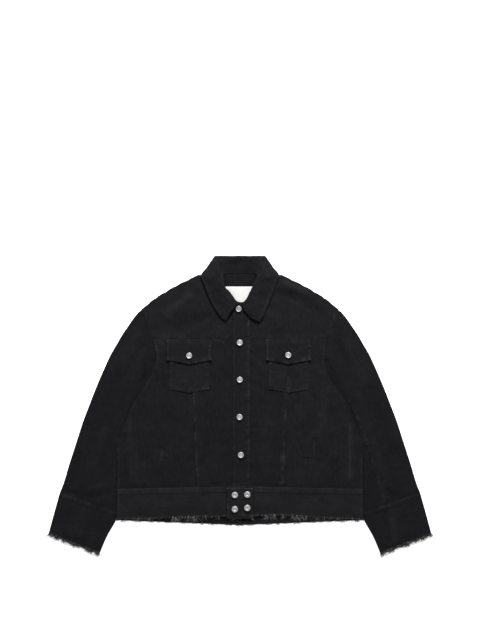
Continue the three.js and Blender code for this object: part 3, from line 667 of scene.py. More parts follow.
def useGroup(tree, group, values):
    node = tree.nodes.new("ShaderNodeGroup")
    node.node_tree = group
    for label, value in values.items():
        if hasattr(value, "is_linked"):
            tree.links.new(value, node.inputs[label])
        else:
            node.inputs[label].default_value = value
    return node.outputs


def plainMaterial(name, colour, roughness, **values):
    material = bpy.data.materials.new(name)
    material.use_nodes = True
    shader = material.node_tree.nodes["Principled BSDF"]
    shader.inputs["Base Color"].default_value = (*colour, 1)
    shader.inputs["Roughness"].default_value = roughness
    for label, value in values.items():
        shader.inputs[label].default_value = value
    return material, shader


def attribute(tree, name, output):
    node = tree.nodes.new("ShaderNodeAttribute")
    node.attribute_name = name
    return node.outputs[output]


denimLooks = {
    "pitch": 0.0011,
    "specular": 0.10,
    "sheen": 0.03,
    "roughness": 0.82,
    "bump": 0.35,
    "bumpDepth": 0.00022,
    # name: base colour, colour where it has rubbed, mottle
    "shades": {
        "panel": ((0.0050, 0.0049, 0.0061), (0.034, 0.034, 0.037), 0.75),
        "yoke": ((0.0053, 0.0052, 0.0065), (0.036, 0.036, 0.040), 0.75),
        "sleeve": ((0.0044, 0.0043, 0.0054), (0.032, 0.032, 0.035), 0.70),
        "band": ((0.0080, 0.0079, 0.0092), (0.040, 0.040, 0.044), 0.60),
        "collar": ((0.0059, 0.0058, 0.0071), (0.036, 0.036, 0.040), 0.60),
        "pocket": ((0.0061, 0.0060, 0.0072), (0.034, 0.034, 0.037), 0.75),
        "faded": ((0.0056, 0.0054, 0.0071), (0.034, 0.034, 0.038), 0.85),
        "cuff": ((0.0050, 0.0049, 0.0063), (0.032, 0.032, 0.035), 0.70),
    },
}


def denimMaterial(name):
    base, worn, mottle = denimLooks["shades"][name]
    material, shader = plainMaterial("denim_" + name, base, denimLooks["roughness"])
    shader.inputs["Specular IOR Level"].default_value = denimLooks["specular"]
    shader.inputs["Sheen Weight"].default_value = denimLooks["sheen"]
    shader.inputs["Sheen Roughness"].default_value = 0.6
    tree = material.node_tree
    grain = attribute(tree, "grain", "Vector")
    # Wear above 0 fades the cloth pale, and below 0 it is painted shade
    wear = attribute(tree, "wear", "Fac")
    twill = useGroup(tree, twillWeave, {"Grain": grain, "Pitch": denimLooks["pitch"], "Slub": 0.55})
    fading = useGroup(tree, fadingAndShade, {"Base": (*base, 1), "Worn": (*worn, 1), "WearAndShade": wear,
                                         "Tone": twill["Tone"], "Grain": grain, "Mottle": mottle})
    tree.links.new(fading["Colour"], shader.inputs["Base Color"])
    bump = tree.nodes.new("ShaderNodeBump")
    bump.inputs["Strength"].default_value = denimLooks["bump"]
    bump.inputs["Distance"].default_value = denimLooks["bumpDepth"]
    tree.links.new(twill["Height"], bump.inputs["Height"])
    tree.links.new(bump.outputs[0], shader.inputs["Normal"])
    return material


denim = {name: denimMaterial(name) for name in denimLooks["shades"]}


# A thread's own colour varies along it
def threadMaterial(name, dark, light, roughness=0.8):
    material, shader = plainMaterial(name, dark, roughness)
    shader.inputs["Specular IOR Level"].default_value = 0.15
    tree = material.node_tree
    where = tree.nodes.new("ShaderNodeTexCoord").outputs["Object"]
    share = calc(tree, "MULTIPLY", noise(tree, where, 330.0, 2.0), 1.0, clamp=True)
    tree.links.new(mixColour(tree, share, (*dark, 1), (*light, 1)), shader.inputs["Base Color"])
    return material


stitchThread = threadMaterial("stitch_thread", (0.010, 0.010, 0.011), (0.030, 0.030, 0.033))
darkThread = threadMaterial("frayed_dark", (0.006, 0.006, 0.007), (0.036, 0.036, 0.040))
paleThread = threadMaterial("frayed_pale", (0.08, 0.08, 0.085), (0.46, 0.46, 0.46))


# Pewter: bright where it is rubbed and dark in the hollows
def metalMaterial(name, bright, dull, roughness):
    material, shader = plainMaterial(name, bright, roughness, Metallic=1.0)
    tree = material.node_tree
    hollow = attribute(tree, "wear", "Fac")
    where = tree.nodes.new("ShaderNodeTexCoord").outputs["Object"]
    spots = calc(tree, "MULTIPLY", calc(tree, "SUBTRACT", noise(tree, where, 900.0, 3.0), 0.35), 0.5)
    share = calc(tree, "ADD", hollow, spots, clamp=True)
    tree.links.new(mixColour(tree, share, (*bright, 1), (*dull, 1)), shader.inputs["Base Color"])
    return material


pewter = metalMaterial("pewter", (0.62, 0.62, 0.615), (0.26, 0.26, 0.26), 0.55)
# A darker pewter, for the top button
pewterDarker = metalMaterial("pewter_darker", (0.46, 0.46, 0.46), (0.12, 0.12, 0.12), 0.55)


def labelMaterial():
    material, shader = plainMaterial("label_satin", (0.70, 0.705, 0.69), 0.55)
    tree = material.node_tree
    grain = attribute(tree, "grain", "Vector")
    weave = noise(tree, stretched(tree, grain, (600, 2400, 1)), 1.0, 2.0)
    colour = mixColour(tree, weave, (0.60, 0.605, 0.595, 1), (0.76, 0.765, 0.75, 1))
    tree.links.new(colour, shader.inputs["Base Color"])
    return material


labelSatin = labelMaterial()
print("denim jacket: materials ready")


# Panels
halves = (("l", -1), ("r", 1))


def sided(ends, turn):
    return np.asarray(ends, float) * np.array([turn, 1, turn, 1])


def bandTopY(x):
    return edgeY(outline["bandTop"], x)


def frontSeamX(y):
    rows = np.array(frontSeamRows)[::-1]
    return np.interp(y, rows[:, 0], rows[:, 1])


def bodySideX(y):
    curve = armholeCurve[::-1]
    return np.interp(y, curve[:, 1], curve[:, 0])


def rowsBetween(top, bottom, xInner, xOuter, spacing=cloth["step"]):
    count = int((top - bottom[0]) / spacing) + 1
    down = np.linspace(0, 1, count)
    inner = top + (bottom[0] - top) * down
    outer = top + (bottom[1] - top) * down
    return np.stack([xInner(inner), inner, xOuter(outer), outer], -1)


tuckIn = outline["tuckIn"]
yokeRows = alongCorners(frontYokeRows, [5], cloth["step"])
yokeY = outline["yokeSeamY"]
yokeEnds = np.stack([yokeRows[:, 0], yokeRows[:, 0] * 0 + yokeY - 0.1, yokeRows[:, 1], yokeRows[:, 2]], -1)
frontSeamFoot = frontSeamRows[-1][1]
bandTopSide = bandTopY(outline["sideX"])
sideBottom = (bandTopY(frontSeamFoot), bandTopSide)
sideEnds = rowsBetween(yokeY, sideBottom, frontSeamX, lambda y: bodySideX(y) + tuckIn)
centreBottom = (bandTopY(0), bandTopY(frontSeamFoot))
centreEnds = rowsBetween(yokeY, centreBottom, lambda y: 0 * y + outline["centreGap"], frontSeamX)
bandX = np.linspace(0.25, outline["bandSideX"], 112)
bandLowX = bandX + outline["bandFlare"] * smooth((bandX - 280) / 23)


# Painted shadow on the waistband beside the tab that lies on it
def tabEdgeShadow(x, y):
    return -0.4 * bell((np.abs(x + 0.4) - 32.6) / 1.8)


sideLook = {"l": "panel", "r": "faded"}
for side, turn in halves:
    common = {"seams": bodySeams, "folds": bodyFolds}
    makeCloth("yoke_front_" + side, sided(yokeEnds, turn), bodyTop, denim["yoke"], "denim_yoke",
              ["front_yoke_" + side], restsOn=["yoke_back"], angle=0.12 * turn, **common)
    makeCloth("panel_side_" + side, sided(sideEnds, turn), bodyTop, denim[sideLook[side]], "denim_panel",
              ["front_side_" + side], restsOn=["panel_back"], angle=0.03 * turn, **common)
    makeCloth("panel_centre_" + side, sided(centreEnds, turn), bodyTop, denim["panel"], "denim_panel",
              ["front_centre_" + side], restsOn=["panel_back"], **common)
    bandEnds = np.stack([bandLowX, hemY(bandX * turn), bandX, bandTopY(bandX) + 0.1], -1)
    makeCloth("band_" + side, sided(bandEnds, turn), bandTop, denim["band"], "denim_band",
              ["waistband_" + side], wall=cloth["doubleWall"], seams=bandSeams, folds=bodyFolds,
              restsOn=["band_back"], angle=math.pi / 2, edgeWear=0.1, shade=tabEdgeShadow)

backSideLines = [shoulderLine, sideLine]


def backTop(x, y):
    return backUnder(x, y, backSideLines)


backYoke = alongCorners(backYokeRows, [4], cloth["backStep"])
backYoke = np.concatenate([backYoke[:0:-1] * [-1, -1, 1], backYoke])
backYokeLow = 0 * backYoke[:, 0] + yokeY - 0.5
backYokeEnds = np.stack([backYoke[:, 0], backYokeLow, backYoke[:, 1], backYoke[:, 2]], -1)
makeCloth("yoke_back", backYokeEnds, backTop, denim["yoke"], "denim_yoke", ["back_yoke"], up=False,
          step=cloth["backStep"])
bandRise = outline["bandTop"][0] - outline["bandTop"][1]
backEnds = rowsBetween(yokeY, (bandTopSide - 0.3,) * 2, lambda y: -bodySideX(y) - tuckIn,
                       lambda y: bodySideX(y) + tuckIn, cloth["backStep"])
makeCloth("panel_back", backEnds, backTop, denim["panel"], "denim_panel", ["back_panel"], up=False,
          step=cloth["backStep"], bend=(0, bandRise))
backBandSide = 303.0
backBandY = np.linspace(bandTopSide - 0.1, outline["backHem"][1], 32)
backBandX = backBandSide + outline["bandFlare"] * smooth((bandTopSide - backBandY) / 60)
backBandEnds = np.stack([-backBandX, backBandY, backBandX, backBandY], -1)


# Painted shadow on the back's waistband where the front one lies over it
def frontHemShadow(x, y):
    return -0.62 * (1 - smooth((hemY(x) - y - 9) / 8))


makeCloth("band_back", backBandEnds, backTop, denim["band"], "denim_band", ["waistband_back"], up=False,
          wall=cloth["doubleWall"], angle=math.pi / 2, edgeWear=0.1, shade=frontHemShadow, step=4.0,
          bend=(bandRise, outline["backHem"][0] - outline["backHem"][1]))
print("denim jacket: body panels made")


# Sleeves
sleeve = {
    "inseamLift": 0.12,    # how far the two edges of the inseam stay apart
    "underLift": 0.05,
}


# One sheet wrapped over the outer fold: upper half from the inner edge out, under half back in
def makeTube(name, rows, top, look, nodes, wall, seams, folds, angle):
    rows = np.asarray(rows, float)
    width = np.hypot(rows[:, 2] - rows[:, 0], rows[:, 3] - rows[:, 1]).mean()
    x, y = planGrid(rows, edgeSteps(width, cloth["step"]))
    upper = np.stack([x, y, top(x, y)], -1)
    low = [part[:, ::-1] for part in planGrid(rows, edgeSteps(width, cloth["underStep"]))]
    away = nearLine(np.abs(low[0]), low[1], outerLine)[0]
    away = np.minimum(away, nearLine(np.abs(low[0]), low[1], innerLine)[0])
    foot = cloth["rollFoot"] - sleeve["underLift"]
    lower = np.stack([*low, sleeve["underLift"] + foot * (1 - rollTurn(away))], -1)
    upper[:, 0, 2] += sleeve["inseamLift"]
    face = np.concatenate([upper, lower[:, 1:]], axis=1)
    if gridNormals(face)[:, : x.shape[1], 2].mean() < 0:
        face = face[:, ::-1]
    px, py = face[..., 0], face[..., 1]
    onTop = face[..., 2] > cloth["rollFoot"]
    worn = (seamRelief(seams, px, py)[1] + foldWearAndShade(folds, px, py)) * onTop
    edge = borderOf(px.shape) * 0.03
    edge[:, 0] = edge[:, -1] = 0
    alongSleeve = np.array([rows[0, 2] - rows[-1, 2], rows[0, 3] - rows[-1, 3]])
    tilt = math.atan2(alongSleeve[0], alongSleeve[1])
    mesh = wallMesh(name, face, wall, worn + edge, grainOf(px, py, -tilt + angle))
    piece = addPiece(name, mesh, look, nodes)
    length = np.hypot(*(rows[-1] - rows[0])[:2]) * mm
    declareCloth(face, cut=(2 * width * mm, max(length, 0.05)))
    return piece


sleeveEnds = alongCorners(sleeveRows, [len(armholeRows) - 1], cloth["step"])
sleeveEnds[:, 0] -= tuckIn
sleeveEnds[-1, [1, 3]] -= 0.4
cuffEnds = alongRows(cuffRows, spacing=cloth["step"])
for side, turn in halves:
    makeTube("sleeve_" + side, sided(sleeveEnds, turn), sleeveTop, denim["sleeve"],
             ["sleeve_upper_" + side, "sleeve_under_" + side], cloth["wall"], sleeveSeams, sleeveFolds,
             0.0)
    makeTube("cuff_" + side, sided(cuffEnds, turn), cuffTop, denim["cuff"],
             ["cuff_upper_" + side, "cuff_under_" + side], cloth["doubleWall"], cuffSeams, sleeveFolds,
             math.pi / 2)
print("denim jacket: sleeves made")


# Placket and waistband tab
placket = {
    "left": -17.9, "right": 23.3, "top": 254.4, "bottom": -199.6, "sections": 168,
    "lift": 1.75,         # its face above the front under it
    "sewnLift": 1.15,     # the same at the sewn edge
}
placketSeams = [
    seam([(placket["right"], 249), (placket["right"], -199)], -1, rows=(1.6,), width=5.5, lift=0.4,
         pucker=0.5, wear=0.3, steady=0.6),
    seam([(placket["left"], 249), (placket["left"], -199)], 1, rows=(2.6,), width=5, lift=0.25,
         pucker=0.28, wear=0.16),
]


def placketTop(x, y):
    rise = placket["sewnLift"] + (placket["lift"] - placket["sewnLift"]) * smooth((placket["right"] - x) / 6)
    rise = rise - 0.55 * (1 - smooth((x - placket["left"]) / 2.2))
    return smoothTop(x, y) + rise + seamRelief(placketSeams, x, y)[0]


# Sections of a straight strip from its top to its bottom
def stripEnds(strip):
    y = np.linspace(strip["top"], strip["bottom"], strip["sections"])
    return np.stack([0 * y + strip["left"], y, 0 * y + strip["right"], y], -1)


makeCloth("placket_front", stripEnds(placket), placketTop, denim["yoke"], "denim_yoke", ["placket"],
          wall=1.0, seams=placketSeams, folds=bodyFolds, restsOn=["panel_centre_l", "panel_centre_r"],
          step=2.0, edgeWear=0.06)

tab = {
    "left": -31.4, "right": 30.6, "top": -200.4, "bottom": -276.4, "sections": 34,
    "seat": 1.3,          # the waistband under it
    "lift": 1.9,
    "cornerCurl": 0.5,    # how far the worn corner curls up
}
tabEdges = [
    ([(-31.4, -200), (-31.4, -276)], 1), ([(-31.4, -200.4), (30.6, -200.4)], -1),
    ([(-31.4, -267), (30.6, -267)], 1), ([(30.6, -200), (30.6, -276)], -1),
]
tabSeams = [seam(line, turn, rows=(2.4, 5.2), width=6, lift=0.4, pucker=0.3, wear=0.5)
            for line, turn in tabEdges]


def tabTop(x, y):
    reach = np.minimum(np.minimum(x - tab["left"], tab["right"] - x),
                       np.minimum(tab["top"] - y, y - tab["bottom"]))
    rise = tab["lift"] - 0.45 * (1 - smooth(reach / 2.0))
    corner = tab["cornerCurl"] * bell(np.hypot(x - 30, y + 275) / 11)
    return smoothTop(x, y) + tab["seat"] + rise + corner + seamRelief(tabSeams, x, y)[0]


makeCloth("tab_front", stripEnds(tab), tabTop, denim["band"], "denim_band", ["waistband_tab"], wall=1.4,
          seams=tabSeams, restsOn=["band_l", "band_r"], step=2.0, angle=math.pi / 2, edgeWear=0.2)


# Chest pockets
pockets = {
    "middle": {"l": -124.3, "r": 118.9},
    "patchWidth": 96.0, "patchTop": 156.0, "patchCorner": 40.9, "patchPoint": 31.9,
    "patchLift": 1.2,
    "flapWidth": 110.8, "flapTop": 162.9, "flapCorner": 112.8, "flapPoint": 102.2,
    "flapLift": 3.35,
    "rows": (2.2, 8.2),   # stitch rows in from an edge
}


def pocketShape(middle, width, corner, point, top):
    half = width / 2
    return [(middle - half, top), (middle - half, corner), (middle, point), (middle + half, corner),
            (middle + half, top)]


def edgeSeams(shape, lift, pucker, wear, creaseShade):
    return [seam([a, b], 1, rows=pockets["rows"], width=pockets["rows"][1] + 1.5, lift=lift, pucker=pucker,
                 wear=wear, creaseShade=creaseShade) for a, b in zip(shape[:-1], shape[1:])]


# Strongest of the seams rather than their sum, where the sides of a pocket meet
def shapeRelief(seams, x, y):
    parts = [seamRelief([one], x, y) for one in seams]
    height = np.max([part[0] for part in parts], axis=0)
    return height, np.max([part[1] for part in parts], axis=0)


flapTops = {}
for side, turn in halves:
    middle = pockets["middle"][side]
    patchShape = pocketShape(middle, pockets["patchWidth"], pockets["patchCorner"], pockets["patchPoint"],
                             pockets["patchTop"])
    flapShape = pocketShape(middle, pockets["flapWidth"], pockets["flapCorner"], pockets["flapPoint"],
                            pockets["flapTop"])
    patchSeams = edgeSeams(patchShape, 0.45, 0.4, 0.2, 0.2)
    flapSeams = edgeSeams(flapShape, 0.8, 0.35, 0.42, 0.55)

    def patchTop(x, y, seams=patchSeams):
        return smoothTop(x, y) + pockets["patchLift"] + shapeRelief(seams, x, y)[0]

    def flapTop(x, y, seams=flapSeams, middle=middle, turn=turn):
        tucked = smooth((pockets["flapTop"] - y) / 9)
        rise = 0.9 + (pockets["flapLift"] - 0.9) * tucked
        free = smooth((140 - y) / 40)
        curl = 0.7 * free * bell((np.abs(x - middle) - 54) / 16)
        curl = curl + 0.4 * free * unevenField(x, y, 60, 77 + turn)
        return smoothTop(x, y) + rise + curl + shapeRelief(seams, x, y)[0]

    flapTops[side] = flapTop
    for name, shape, top, look, slotName, node, wall, seams, rests in (
        ("pocket_" + side, patchShape, patchTop, denim["pocket"], "denim_panel", "pocket_patch_" + side, 1.0,
         patchSeams, "panel_side_" + side),
        ("flap_" + side, flapShape, flapTop, denim["yoke"], "denim_yoke", "pocket_flap_" + side, 1.6,
         flapSeams, "pocket_" + side),
    ):
        xs = np.linspace(shape[0][0], shape[-1][0], 45)
        low = np.interp(xs, [p[0] for p in shape[1:4]], [p[1] for p in shape[1:4]])
        ends = np.stack([xs, low, xs, 0 * xs + shape[0][1]], -1)
        makeCloth(name, ends, top, look, slotName, [node], wall=wall, seams=seams, folds=bodyFolds,
                  restsOn=[rests], step=2.2, edgeWear=0.1, angle=0.04 * turn)
print("denim jacket: placket, tab and pockets made")


# Collar
collar = {
    "wall": 1.7,
    "tuck": 6.0,          # how far the leaf goes on under its roll
    "rollShift": 3.0,     # how far the rolls round the neck lie to the left of the middle
    "leafRows": (361.9, 356.5, 349.4), "standRows": (319.0, 316.4, 308.7),    # rows across the open back, y
    "creases": [(-58.0, 366.0, -40.0, 322.0), (61.0, 365.0, 41.6, 321.0)],
    # base x, y, z on the neck seam; root x, y, z where stand and leaf join; crest share and z; edge x, y, z;
    # side that the stand's outer face is on
    "frontLeft": [
        (-6, 252.6, 7.6, -2.0, 253.6, 9.2, 0.5, 9.6, -12.6, 245.6, 9.0, 1),
        (-13, 252.6, 7.6, -5.0, 255.2, 9.4, 0.3, 11.0, -22.5, 229.5, 8.8, 1),
        (-21, 254.2, 7.4, -9.5, 257.8, 9.7, 0.25, 12.2, -35.8, 208.0, 8.2, 1),
        (-28, 259.6, 7.0, -13.2, 262.0, 10.2, 0.22, 13.2, -45.5, 216.0, 8.0, 1),
        (-35, 267.0, 6.4, -18.0, 269.5, 10.8, 0.2, 14.4, -57.5, 232.5, 7.8, 1),
        (-41, 277.5, 5.8, -25.5, 279.5, 11.4, 0.2, 15.4, -67.9, 247.8, 7.6, 1),
    ],
    "frontRight": [
        (9, 251.6, 7.6, 5.5, 253.0, 9.2, 0.5, 9.6, 10.6, 233.0, 9.0, 1),
        (14, 252.0, 7.6, 8.6, 254.6, 9.4, 0.3, 11.0, 27.4, 215.4, 8.8, 1),
        (21, 253.4, 7.4, 11.6, 257.2, 9.7, 0.25, 12.2, 47.4, 206.0, 8.2, 1),
        (28, 259.6, 7.0, 16.0, 262.0, 10.2, 0.22, 13.2, 56.5, 217.5, 8.0, 1),
        (35, 267.0, 6.4, 20.4, 270.0, 10.8, 0.2, 14.4, 65.5, 238.0, 7.8, 1),
        (41, 277.5, 5.8, 24.6, 279.5, 11.4, 0.2, 15.4, 73.5, 257.0, 7.6, 1),
    ],
    "round": [
        (46.5, 289.6, 5.0, 32.6, 290.0, 12.2, 0.2, 16.6, 82.0, 280.0, 7.6, 1),
        (52, 299.0, 4.4, 37.0, 300.0, 12.8, 0.2, 17.6, 90.0, 301.5, 7.4, 1),
        (61, 311.6, 3.6, 40.0, 310.0, 13.0, 0.22, 18.4, 96.4, 319.0, 7.2, 1),
        (78, 319.0, 2.6, 41.5, 316.6, 12.2, 0.26, 18.6, 81.5, 340.0, 8.6, 0),
        (64, 308.6, 0.9, 41.0, 320.0, 10.6, 0.36, 17.6, 71.2, 355.0, 10.2, -1),
        (45, 299.6, 0.8, 37.0, 324.6, 8.6, 0.5, 15.0, 62.4, 367.6, 11.2, -1),
        (32, 295.8, 0.4, 28.0, 326.6, 7.0, 0.55, 12.2, 46.0, 368.0, 11.8, -1),
        (16, 293.0, 0.2, 14.0, 327.2, 6.2, 0.55, 10.4, 22.0, 367.6, 12.2, -1),
    ],
    "centre": [(0, 292.2, 0.1, 0, 327.4, 6.0, 0.55, 10.0, 0, collarTop, 12.4, -1)],
}
flipX = np.array([-1, 1, 1, -1, 1, 1, 1, 1, -1, 1, 1, 1])
roundRows = np.array(collar["round"], float)
columns = np.concatenate([collar["frontLeft"], roundRows * flipX, collar["centre"], roundRows[::-1],
                          np.array(collar["frontRight"])[::-1]])
last = len(columns) - 1
columns = alongCorners(columns, [2, 11, 17, last - 2], 3.4)
columns[:, 3] -= collar["rollShift"] * smooth((312 - columns[:, 4]) / 14) * smooth((columns[:, 4] - 281) / 8)
base, root = columns[:, 0:3], columns[:, 3:6]
edge = columns[:, 8:11]
crest = root + (edge - root) * columns[:, 6:7]
crest[:, 2] = columns[:, 7]
laidOpen = smooth((0.2 - columns[:, 11]) / 0.9)[:, None]     # 1 where the collar lies open, at the back
base = base - laidOpen * [0, 3.0, 0]
toBase = (base - root) / np.maximum(np.linalg.norm(base - root, axis=1, keepdims=True), 1e-6)
reach = np.minimum(np.linalg.norm(base - root, axis=1, keepdims=True), collar["tuck"])
tuck = root + toBase * reach * (0.8 - 0.35 * laidOpen)
outer = crest * 0.45 + edge * 0.55 + [0, 0, 0.8]


# Smooth sections through the same control points for every column of the collar
def sectionsThrough(controls, steps):
    controls = np.stack(controls, 1)
    chord = np.linalg.norm(np.diff(controls, axis=1), axis=2).mean(0)
    along = np.concatenate([[0], np.cumsum(chord)])
    slope = np.gradient(controls, along, axis=1)
    at = np.asarray(steps) * along[-1]
    i = np.clip(np.searchsorted(along, at, side="right") - 1, 0, len(along) - 2)
    width = (along[i + 1] - along[i])[None, :, None]
    t = ((at - along[i]) / (along[i + 1] - along[i]))[None, :, None]
    return curveBetween(t, width, controls[:, i], controls[:, i + 1], slope[:, i], slope[:, i + 1])


# Rows of stitches across the open back of the collar: a pale line above a dark line of painted shade
def backRows(x, y, rows):
    inside = smooth((48 - np.abs(x)) / 8)
    worn = 0
    for number, row in enumerate(rows):
        broken = 0.8 + 0.3 * unevenLine(x, 19, 160 + number)
        tone = 0.14 * bell((y - row - 1.2) / 1.1) - 0.4 * bell((y - row + 0.9) / 1.1)
        worn = worn + inside * broken * tone
    return worn


leafSteps = edgeSteps(90, 1.6)
leafFace = sectionsThrough([tuck, root, crest, outer, edge], leafSteps)
leafFace = leafFace + [0, 0, collar["wall"]]
rest = 1 - laidOpen
fromEdge = np.linalg.norm(leafFace - leafFace[:, -1:], axis=2)
px, py = leafFace[..., 0], leafFace[..., 1]
onLeaf = smooth((np.linspace(0, 1, leafFace.shape[1]) - 0.2) / 0.15)[None, :]
leafFace[..., 2] += onLeaf * (0.5 * unevenField(px, py, 52, 5) + 0.25 * unevenField(px, py, 24, 6))
row = 0.3 * smooth(fromEdge / 1.5) * (1 - smooth((fromEdge - 7.5) / 2)) - 0.18 * bell((fromEdge - 5.6) / 0.9)
perimeter = distances(leafFace[:, -1])[:, None]
ripple = unevenLine(perimeter, 13, 8) * np.ones_like(fromEdge)
leafFace[..., 2] += onLeaf * (row + 0.3 * ripple * bell((fromEdge - 6) / 6))
for x1, y1, x2, y2 in collar["creases"]:
    leafFace[..., 2] -= onLeaf * 1.3 * bell(nearLine(px, py, [(x1, y1), (x2, y2)])[0] / 5)
leafFace[..., 2] = np.maximum(leafFace[..., 2], 2.2)
leafWearAndShade = 0.4 * bell(fromEdge / 1.1) * (0.6 + 0.5 * ripple) + 0.1 * bell((fromEdge - 6) / 3)
leafWearAndShade = leafWearAndShade * onLeaf + backRows(px, py, collar["leafRows"])
# Painted shade along the collar's creases
for x1, y1, x2, y2 in collar["creases"]:
    leafWearAndShade -= 0.3 * onLeaf * bell(nearLine(px, py, [(x1, y1), (x2, y2)])[0] / 3.5)
if gridNormals(leafFace)[:, 20:, 2].mean() < 0:
    leafFace, leafWearAndShade = leafFace[::-1], leafWearAndShade[::-1]
mesh = wallMesh("collar_leaf_cloth", leafFace, collar["wall"], leafWearAndShade,
                grainOf(leafFace[..., 0], leafFace[..., 1], 0.5))
leafPiece = addPiece("collar_leaf_cloth", mesh, denim["collar"], ["collar_leaf"])
declareCloth(leafFace)

standMiddle = (base + root) / 2 + [0, 0, 0.4]
standTop = root - [0, 0, 0.5]
standFace = sectionsThrough([base, standMiddle, standTop], np.linspace(0, 1, 28))
standFace = standFace + [0, 0, 0.2] + laidOpen[:, None] * [0, 0, 1.0]
if gridNormals(standFace)[len(standFace) // 2, :, 2].mean() < 0:
    standFace = standFace[::-1]
standRowsAndShade = backRows(standFace[..., 0], standFace[..., 1], collar["standRows"])
mesh = wallMesh("collar_stand_cloth", standFace, 1.0, standRowsAndShade,
                grainOf(standFace[..., 0], standFace[..., 1], 0.0))
standPiece = addPiece("collar_stand_cloth", mesh, denim["collar"], ["collar_stand"])
declareCloth(standFace)

label = {
    "left": -40.0, "right": 35.0, "top": 292.8, "bottom": 251.0, "sections": 16,
    "lift": 2.5,          # over the back yoke that it lies on
    "wall": 0.5,
}


def labelTop(x, y):
    return 0 * x + label["lift"] + 0.12 * unevenField(x, y, 22, 3)


makeCloth("label_neck", stripEnds(label), labelTop, labelSatin, "label_cloth", ["neck_label"],
          wall=label["wall"], restsOn=["yoke_back"], edgeWear=0)
print("denim jacket: collar and label made")


# Stitches
stitches = {
    "pitch": 3.5, "length": 2.5, "radius": 0.36, "sink": 0.12,
}


def insetLine(line, side, inset, ends=(0, 0)):
    line = np.asarray(line, float)
    along = distances(line)
    count = max(2, int((along[-1] - sum(ends)) / stitches["pitch"]))
    at = np.linspace(ends[0], along[-1] - ends[1], count)
    points = np.stack([np.interp(at, along, line[:, k]) for k in (0, 1)], 1)
    direction = np.gradient(points, axis=0)
    direction /= np.linalg.norm(direction, axis=1, keepdims=True)
    normal = np.stack([-direction[:, 1], direction[:, 0]], 1)
    return points + normal * side * inset, direction


# One short spindle of thread at each point
def stitchMesh(points, directions):
    count = len(points)
    up = np.tile([0.0, 0.0, 1.0], (count, 1))
    across = np.cross(directions, up)
    across /= np.maximum(np.linalg.norm(across, axis=1, keepdims=True), 1e-9)
    up = np.cross(across, directions)
    half, radius = stitches["length"] / 2, stitches["radius"]
    rings = [(-1, 0.0, -0.9), (-0.72, 1.0, 0), (0.72, 1.0, 0), (1, 0.0, -0.9)]
    places = []
    for end, thick, dip in rings:
        turns = (0,) if thick == 0 else (0, 1, 2, 3)
        for k in turns:
            angle = math.pi / 4 + k * math.pi / 2
            sideways = across * math.cos(angle) * radius * thick
            upward = up * (math.sin(angle) * radius * thick + dip * radius)
            places.append(points + directions * end * half + (sideways + upward))
    vertices = np.stack(places, 1)
    faces = []
    for k in range(4):
        n = (k + 1) % 4
        faces += [(0, 1 + n, 1 + k), (1 + k, 1 + n, 5 + n), (1 + k, 5 + n, 5 + k), (5 + k, 5 + n, 9)]
    faces = np.array(faces)[None] + (np.arange(count) * 10)[:, None, None]
    return vertices.reshape(-1, 3), faces.reshape(-1, 3)


def tripleMesh(name, vertices, faces):
    vertices = vertices.copy()
    vertices[:, 1] += planShift
    mesh = bpy.data.meshes.new(name)
    mesh.from_pydata((vertices * mm).tolist(), [], faces.tolist())
    mesh.shade_smooth()
    return mesh


def addStitches(name, lines):
    points, directions = [], []
    for line, side, inset, ends, top in lines:
        at, along = insetLine(line, side, inset, ends)
        height = top(at[:, 0], at[:, 1])
        ahead = top(at[:, 0] + along[:, 0], at[:, 1] + along[:, 1])
        points.append(np.column_stack([at, height + stitches["sink"]]))
        slant = np.column_stack([along, np.clip(ahead - height, -0.6, 0.6)])
        directions.append(slant / np.linalg.norm(slant, axis=1, keepdims=True))
    vertices, faces = stitchMesh(np.concatenate(points), np.concatenate(directions))
    return addPiece(name, tripleMesh(name, vertices, faces), stitchThread)


def seamRows(seams, top, ends=(3, 3)):
    return [(one["line"], one["side"], inset, ends, top) for one in seams for inset in one["rows"]]


addStitches("stitching_body", seamRows(bodySeams, bodyTop, (2, 3)) + seamRows(bandSeams, bandTop, (32, 3)))
addStitches("stitching_sleeves", seamRows(sleeveSeams, sleeveTop) + seamRows(cuffSeams, cuffTop, (4, 6)))
addStitches("stitching_placket", seamRows(placketSeams, placketTop, (14, 4)))
addStitches("stitching_tab", seamRows(tabSeams, tabTop, (2.6, 2.6)))
for side, turn in halves:
    middle = pockets["middle"][side]
    for name, width, corner, point, top, surface, slotName in (
        ("stitching_pocket_", pockets["patchWidth"], pockets["patchCorner"], pockets["patchPoint"], 102.0,
         None, "denim_panel"),
        ("stitching_flap_", pockets["flapWidth"], pockets["flapCorner"], pockets["flapPoint"],
         pockets["flapTop"] - 3, flapTops[side], "denim_yoke"),
    ):
        lines = []
        for inset in pockets["rows"]:
            half = width / 2 - inset
            slope = (corner - point) / (width / 2)
            low = inset * math.sqrt(1 + slope * slope)
            cornerY = corner + low - slope * inset
            path = [(middle - half, top), (middle - half, cornerY), (middle, point + low),
                    (middle + half, cornerY), (middle + half, top)]
            height = surface or (lambda x, y: smoothTop(x, y) + pockets["patchLift"] + 0.25)
            lines += [([a, b], 1, 0, (0.5, 1.5), height) for a, b in zip(path[:-1], path[1:])]
        addStitches(name + side, lines)


# Rows along the collar's leaf follow its own surface
def collarRows(insets):
    points, directions = [], []
    for inset in insets:
        away = np.linalg.norm(leafFace - leafFace[:, -1:], axis=2)
        place = np.array([row[np.argmin(np.abs(d - inset))] for row, d in zip(leafFace, away)])
        along = distances(place)
        at = np.arange(4, along[-1] - 4, stitches["pitch"])
        found = np.stack([np.interp(at, along, place[:, k]) for k in range(3)], 1)
        direction = np.gradient(found, axis=0)
        points.append(found + [0, 0, stitches["sink"]])
        directions.append(direction / np.linalg.norm(direction, axis=1, keepdims=True))
    return stitchMesh(np.concatenate(points), np.concatenate(directions))


